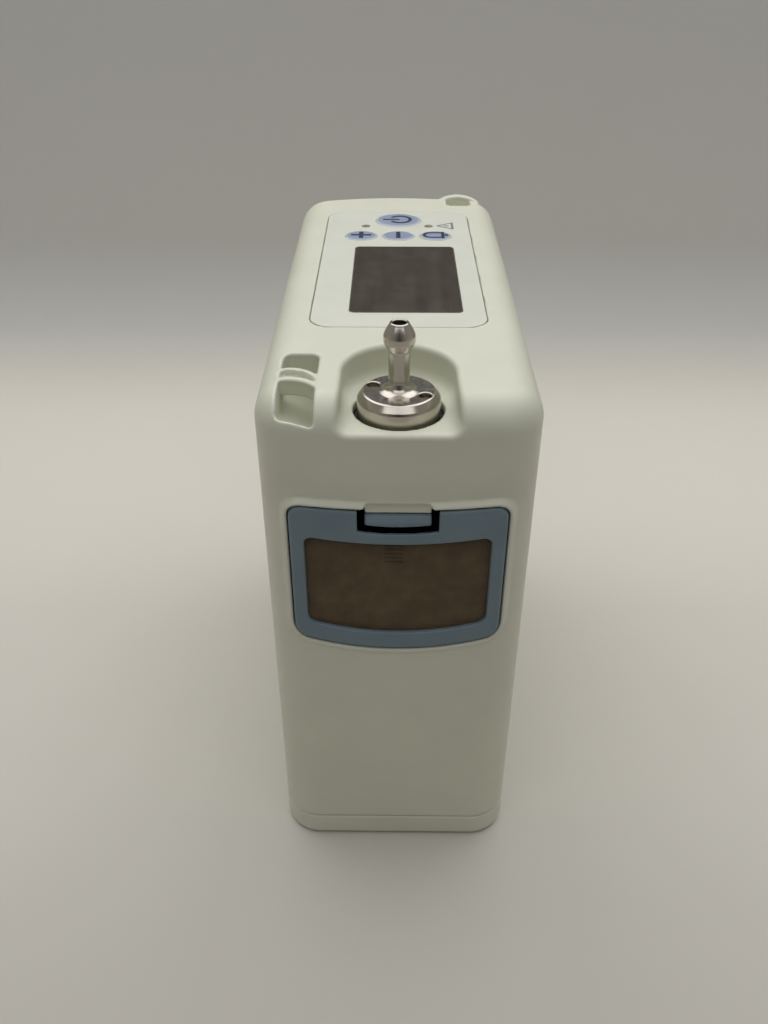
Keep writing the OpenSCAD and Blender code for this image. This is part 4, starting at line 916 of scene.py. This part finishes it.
MOULDED = {
    "housing_plastic": dict(colour=(214, 215, 197), rough=0.42, mottle=2, wear=(226, 227, 214)),
    "panel_film": dict(colour=(216, 217, 204), rough=0.36, mottle=2, grain_depth=0.006),
    "frame_slate": dict(colour=(111, 129, 140), rough=0.45, mottle=4, wear=(126, 138, 146)),
    "alloy": dict(colour=(176, 178, 182), rough=0.36, mottle=6, Metallic=1.0),
    "dark_plastic": dict(colour=(34, 34, 36), rough=0.5, mottle=5),
    "rubber": dict(colour=(38, 38, 40), rough=0.75, mottle=5, grain_depth=0.03),
    "board": dict(colour=(32, 88, 56), rough=0.35, mottle=8),
    "soft_tube": dict(colour=(206, 208, 196), rough=0.4, mottle=6),
    "foam": dict(colour=(46, 42, 38), rough=0.9, mottle=8, grain_mm=1.2, grain_depth=0.3),
    "cell_can": dict(colour=(150, 156, 164), rough=0.3, mottle=8, Metallic=1.0),
    "lamp": dict(colour=(142, 136, 112), rough=0.3, mottle=4),
    "filter_felt": dict(colour=(128, 110, 86), rough=0.9, mottle=4, grain_mm=0.6,
                        grain_depth=0.08),
    "print_blue": dict(colour=(18, 26, 74), rough=0.4, mottle=4, grain_depth=0.004),
    "print_grey": dict(colour=(126, 128, 126), rough=0.45, mottle=4, grain_depth=0.004),
}
MATERIALS = {name: moulded(name, **look) for name, look in MOULDED.items()}
MATERIALS["display_tint"] = display_glass()
MATERIALS["key_blue"] = key_film()
MATERIALS["screen_mesh"] = woven("screen_mesh", (138, 119, 93))
MATERIALS["steel"] = turned_steel()

# The nodes that no piece replaces keep their mesh and take the material of their slot
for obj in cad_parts.values():
    for place in obj.material_slots:
        place.material = MATERIALS[place.material.name.split(".")[0]]


# Printed signs: strokes along paths in x and s, a little above the surface they lie on

def stroke(path, width):
    """The outline of a line of even width."""
    p = np.array(path, float)
    ahead = np.gradient(p, axis=0)
    ahead /= np.linalg.norm(ahead, axis=1)[:, None] + 1e-9
    side = np.stack([-ahead[:, 1], ahead[:, 0]], 1) * width / 2
    return np.concatenate([p + side, (p - side)[::-1]])


def line(x0, s0, x1, s1):
    parts = 6
    return [(x0 + (x1 - x0) * i / parts, s0 + (s1 - s0) * i / parts) for i in range(parts + 1)]


def bend(mid_x, mid_s, r, start, end):
    parts = 40
    turn = [math.radians(start + (end - start) * i / parts) for i in range(parts + 1)]
    return [(mid_x + r * math.cos(a), mid_s + r * math.sin(a)) for a in turn]


def printed(name, outlines, low, high, **piece):
    """Thin slabs from n = low to n = high."""
    bm = bmesh.new()

    def ring(outline, n):
        points = sloped(np.array([(x, s, n) for x, s in outline])) * MM
        return [bm.verts.new(p) for p in points]
    for outline in outlines:
        lower, upper = ring(outline, low), ring(outline, high)
        bm.faces.new(upper)
        bm.faces.new(lower[::-1])
        for i in range(len(upper)):
            j = (i + 1) % len(upper)
            bm.faces.new((lower[i], lower[j], upper[j], upper[i]))
    bmesh.ops.recalc_face_normals(bm, faces=bm.faces)
    mesh = bpy.data.meshes.new(name)
    bm.to_mesh(mesh)
    bm.free()
    return dress(placed(name, mesh), **piece)


def key_sign(key, *outlines):
    printed(f"{key}_sign", outlines, KEY_PROUD - 0.05, KEY_PROUD + 0.04,
            rides=f"{key}_key", slot="key_blue", look="print_blue")


def signs():
    x, s = KEYS["power"][:2]
    key_sign("power", stroke(bend(x + 0.6, s, 3.4, 215, 505), 1.15),
             stroke(line(x - 5.2, s, x + 0.4, s), 1.1))
    x, s = KEYS["plus"][:2]
    key_sign("plus", stroke(line(x - 3.3, s, x + 3.3, s), 1.3),
             stroke(line(x, s - 3, x, s - 0.65), 1.4), stroke(line(x, s + 0.65, x, s + 3), 1.4))
    x, s = KEYS["minus"][:2]
    key_sign("minus", stroke(line(x, s - 2.9, x, s + 2.9), 1.4))
    x, s = KEYS["alert"][:2]
    left, right, r = x - 1.4, x + 2.0, 2.2
    dome = line(right, s + r, left, s + r) + bend(left, s, r, 95, 265)
    dome += line(left, s - r, right, s - r)
    key_sign("alert", stroke(dome, 0.95), stroke(line(x + 2.4, s - 3, x + 2.4, s + 3), 1.0),
             stroke(line(x + 3.0, s, x + 4.0, s), 1.4))
    apex, foot, mid, half = 13.0, 18.0, 122.5, 3.1
    sides = [stroke(line(apex, mid, foot, mid + half), 0.6),
             stroke(line(apex, mid, foot, mid - half), 0.6),
             stroke(line(foot, mid - half - 0.2, foot, mid + half + 0.2), 0.8),
             stroke(line(apex + 2.2, mid, apex + 3.9, mid), 0.8)]
    printed("alarm_sign", sides, -0.04, 0.04,
            rides="housing", slot="panel_film", look="print_grey")


# Woven screen

def tube(path, across, r):
    """Rings of points round a path, joined into an open tube."""
    ahead = np.gradient(path, axis=0)
    ahead /= np.linalg.norm(ahead, axis=1)[:, None]
    up = np.cross(ahead, across)
    up /= np.linalg.norm(up, axis=1)[:, None]
    turn = np.arange(THREAD_SIDES) * 2 * math.pi / THREAD_SIDES
    ring = (np.cos(turn)[None, :, None] * np.array(across)[None, None, :]
            + np.sin(turn)[None, :, None] * up[:, None, :])
    points = path[:, None, :] + r * ring
    start = np.arange(len(path) - 1)[:, None] * THREAD_SIDES
    side = np.arange(THREAD_SIDES)[None, :]
    here, beside = start + side, start + (side + 1) % THREAD_SIDES
    quads = np.stack([here, beside, beside + THREAD_SIDES, here + THREAD_SIDES], -1)
    return points.reshape(-1, 3), quads.reshape(-1, 4)


def screen_span(at, upright):
    """Where a thread starts and ends inside the frame's groove."""
    v = np.linspace(-PROBE_HALF, PROBE_HALF, PROBE_COUNT)
    if upright:
        d = window_face(np.full_like(v, at), v + WINDOW_MID, THREAD_HOLD)
    else:
        d = window_face(v, np.full_like(v, at), THREAD_HOLD)
    held = v[d < 0]
    if not len(held):
        return None
    return (held[0] + WINDOW_MID, held[-1] + WINDOW_MID) if upright else (held[0], held[-1])


def screen():
    """Threads that pass over and under each other in turn."""
    points, quads, base = [], [], 0
    for upright in (True, False):
        reach = WINDOW_HALF + 1 if upright else SCREEN_REACH
        mid = 0 if upright else WINDOW_MID
        count = int(reach / PITCH)
        for i in range(-count, count + 1):
            at = mid + i * PITCH
            span = screen_span(at, upright)
            if span is None or span[1] - span[0] < THREAD_LEAST:
                continue
            steps = max(int((span[1] - span[0]) / PITCH * 2), 4)
            v = np.linspace(span[0], span[1], steps + 1)
            sign = 1 if (i % 2 == 0) == upright else -1
            wave = THREAD_Y + sign * THREAD_SWAY * np.cos(np.pi * v / PITCH)
            fixed = np.full_like(v, at)
            path = np.stack([fixed, wave, v] if upright else [v, wave, fixed], 1)
            across = (1.0, 0.0, 0.0) if upright else (0.0, 0.0, 1.0)
            p, q = tube(path, across, THREAD_R)
            points.append(p)
            quads.append(q + base)
            base += len(p)
    obj = mesh_object("filter_mesh", np.concatenate(points), np.concatenate(quads))
    obj.data.shade_smooth()
    return dress(obj, "filter_cartridge", "screen_mesh", ("filter_screen",))


# Pieces

def pieces():
    carve("housing_shell", housing, (-HALF_W, FRONT - RIM_ROOM, BASE), (HALF_W, BACK, HIGHEST),
          step=0.62, thin=0.26,
          rides="housing", slot="housing_plastic", nodes=("main_housing",))
    carve("pack_shell", battery_case, case_low, case_high, step=0.6, thin=0.4,
          rides="battery_pack", slot="housing_plastic", nodes=("battery_case",))
    carve("outlet_turned", outlet, fitting_low, fitting_high, step=0.22,
          rides="housing", slot="steel", nodes=("outlet_fitting",))
    carve("filter_surround", filter_frame, frame_low, frame_high, step=0.32,
          rides="filter_cartridge", slot="frame_slate", nodes=("filter_frame",))
    carve("filter_pad", filter_pad,
          (-WINDOW_HALF - FOAM_OUT, FELT_Y[0], WINDOW_LOW - FOAM_OUT),
          (WINDOW_HALF + FOAM_OUT, FRONT + LINING_DEPTH, PAD_TOP), step=0.25, thin=0.3,
          rides="filter_cartridge", slot="foam", look="filter_felt")
    carve("filter_tab_cap", filter_tab, tab_low, tab_high, step=0.2,
          rides="filter_tab", slot="frame_slate", nodes=("filter_catch",))
    edge_x, edge_s = PANEL_HALF + PANEL_EDGE, (PANEL_S[0] - PANEL_EDGE, PANEL_S[1] + PANEL_EDGE)
    carve("panel_plate", panel, (-edge_x, edge_s[0], -PANEL_T), (edge_x, edge_s[1], 0),
          step=0.3, thin=0.5, on_top=True,
          rides="housing", slot="panel_film", nodes=("keypad_panel",))
    x, s, a, b = DISPLAY
    carve("display_glass", display, (x - a, s - b, -PANEL_T), (x + a, s + b, 0),
          step=0.3, thin=0.5, on_top=True,
          rides="housing", slot="display_tint", nodes=("display_window",))
    for name, (x, s, a, b) in KEYS.items():
        carve(f"{name}_cap", key_shape(x, s, a, b), (x - a - KEY_LIP, s - b - KEY_LIP, STEM_LOW),
              (x + a + KEY_LIP, s + b + KEY_LIP, KEY_PROUD), step=0.22, on_top=True,
              rides=f"{name}_key", slot="key_blue", nodes=(f"{name}_button",))
    signs()
    screen()


# Stage, light and camera, in metres

# The paper's colour at the front, then the tones it turns to between two places along an axis:
# painted light, the floor lighter towards the bend and the bend and wall paler than the front,
# painted to stand for how the light falls on them
PAPER = (187, 183, 174)
PAPER_PAINTED_LIGHT = (("Y", -0.15, -0.07, (202, 198, 189)), ("Y", 0.03, 0.21, (225, 221, 210)),
               ("Z", 0.0, 0.02, (214, 213, 210)))
PAPER_HALF = 1.2
PAPER_FRONT = -0.9
PAPER_HIGH = 0.22
BEND_Y, BEND_R = 0.24, 0.07
# Lamps as name, place, aim, size and watts
LAMPS = (("ceiling", (0.0, 0.46, 1.2), (0, 0.02, 0.1), (2.4, 1.4), 18.6),
         ("front_card", (0.0, -0.85, 1.08), (0, -0.06, 0.15), (1.8, 0.22), 1.7),
         ("high_card", (0.0, -0.55, 1.25), (0, -0.06, 0.15), (1.6, 0.5), 2.6))
ROOM_DARK = (0.03, 0.03, 0.029, 1)
ROOM_SKY = (0.16, 0.159, 0.154, 1)
ROOM_PALE = linear(158, 156, 149)
# The camera's place and its angles in degrees, fitted to the photograph, and its focal length
# in the photograph's pixels
CAMERA_PLACE = (-0.0016, -0.2553, 0.2391)
CAMERA_DOWN, CAMERA_TURN = 33.73, 0.58
SENSOR, FOCAL_PIXELS, PHOTO_PIXELS = 36, 886, 1024


def stage():
    """A paper sweep that a camera behind or under it sees through."""
    s = Surface("paper_sweep")
    split = s.node("ShaderNodeSeparateXYZ")
    s.link(s.place, split.inputs["Vector"])
    tone = linear(*PAPER)
    # Painted light: the paper is painted lighter towards the back, the bend and the wall, where
    # more light falls
    for axis, start, end, colour in PAPER_PAINTED_LIGHT:
        share = s.spread(split.outputs[axis], 0, 1, from_low=start, from_high=end)
        tone = s.mix(share, tone, linear(*colour))
    s.colour(s.mix(s.spread(s.noise(260, detail=3), 0, 0.12), tone, linear(196, 194, 184)))
    s.rough(s.noise(40, detail=4), 0.75, 0.9)
    s.bump(s.noise(0.9, detail=4), 0.03)
    behind = s.node("ShaderNodeNewGeometry").outputs["Backfacing"]
    by_camera = s.node("ShaderNodeLightPath").outputs["Is Camera Ray"]
    one_sided = s.node("ShaderNodeMixShader")
    s.link(s.maths("MULTIPLY", behind, by_camera), one_sided.inputs["Fac"])
    s.link(s.shader.outputs["BSDF"], one_sided.inputs[1])
    s.link(s.node("ShaderNodeBsdfTransparent").outputs["BSDF"], one_sided.inputs[2])
    s.link(one_sided.outputs["Shader"], s.tree.nodes["Material Output"].inputs["Surface"])
    turn = [math.radians(6 * i) for i in range(1, 16)]
    profile = [(PAPER_FRONT, 0.0), (BEND_Y, 0.0)]
    profile += [(BEND_Y + BEND_R * math.sin(a), BEND_R - BEND_R * math.cos(a)) for a in turn]
    profile.append((BEND_Y + BEND_R, PAPER_HIGH))
    points = [(x, y, z) for y, z in profile for x in (-PAPER_HALF, PAPER_HALF)]
    quads = [(2 * i, 2 * i + 1, 2 * i + 3, 2 * i + 2) for i in range(len(profile) - 1)]
    obj = mesh_object("sweep", np.array(points) / MM, np.array(quads))
    obj.data.shade_smooth()
    obj.data.materials.append(s.material)


def lamps():
    for name, place, aim, size, watts in LAMPS:
        light = bpy.data.lights.new(name, "AREA")
        light.shape = "RECTANGLE"
        light.size, light.size_y = size
        light.energy = watts
        obj = placed(name, light)
        obj.location = place
        obj.rotation_euler = (Vector(aim) - Vector(place)).to_track_quat("-Z", "Y").to_euler()


def room():
    """A dim sky for diffuse light, dark and pale walls to reflect, and a pale one to look at."""
    world = bpy.data.worlds.new("room")
    world.use_nodes = True
    w = Nodes(world.node_tree)
    split = w.node("ShaderNodeSeparateXYZ")
    w.link(w.node("ShaderNodeTexCoord").outputs["Generated"], split.inputs["Vector"])
    rays = w.node("ShaderNodeLightPath").outputs
    sky = w.mix(split.outputs["Z"], ROOM_DARK, ROOM_SKY)
    walls = w.mix(w.maths("ABSOLUTE", split.outputs["X"]), ROOM_DARK, ROOM_PALE)
    around = w.mix(rays["Is Glossy Ray"], sky, walls)
    seen = w.maths("MAXIMUM", rays["Is Camera Ray"], rays["Is Transmission Ray"])
    w.link(w.mix(seen, around, ROOM_PALE), w.tree.nodes["Background"].inputs["Color"])
    bpy.context.scene.world = world


def camera():
    data = bpy.data.cameras.new("camera")
    data.sensor_width = SENSOR
    data.lens = SENSOR * FOCAL_PIXELS / PHOTO_PIXELS
    data.clip_start = 0.01
    obj = placed("camera", data)
    obj.location = CAMERA_PLACE
    obj.rotation_euler = (math.radians(90 - CAMERA_DOWN), 0, math.radians(CAMERA_TURN))
    bpy.context.scene.camera = obj
    bpy.context.scene.view_settings.view_transform = "Standard"


stage()
lamps()
room()
camera()
pieces()
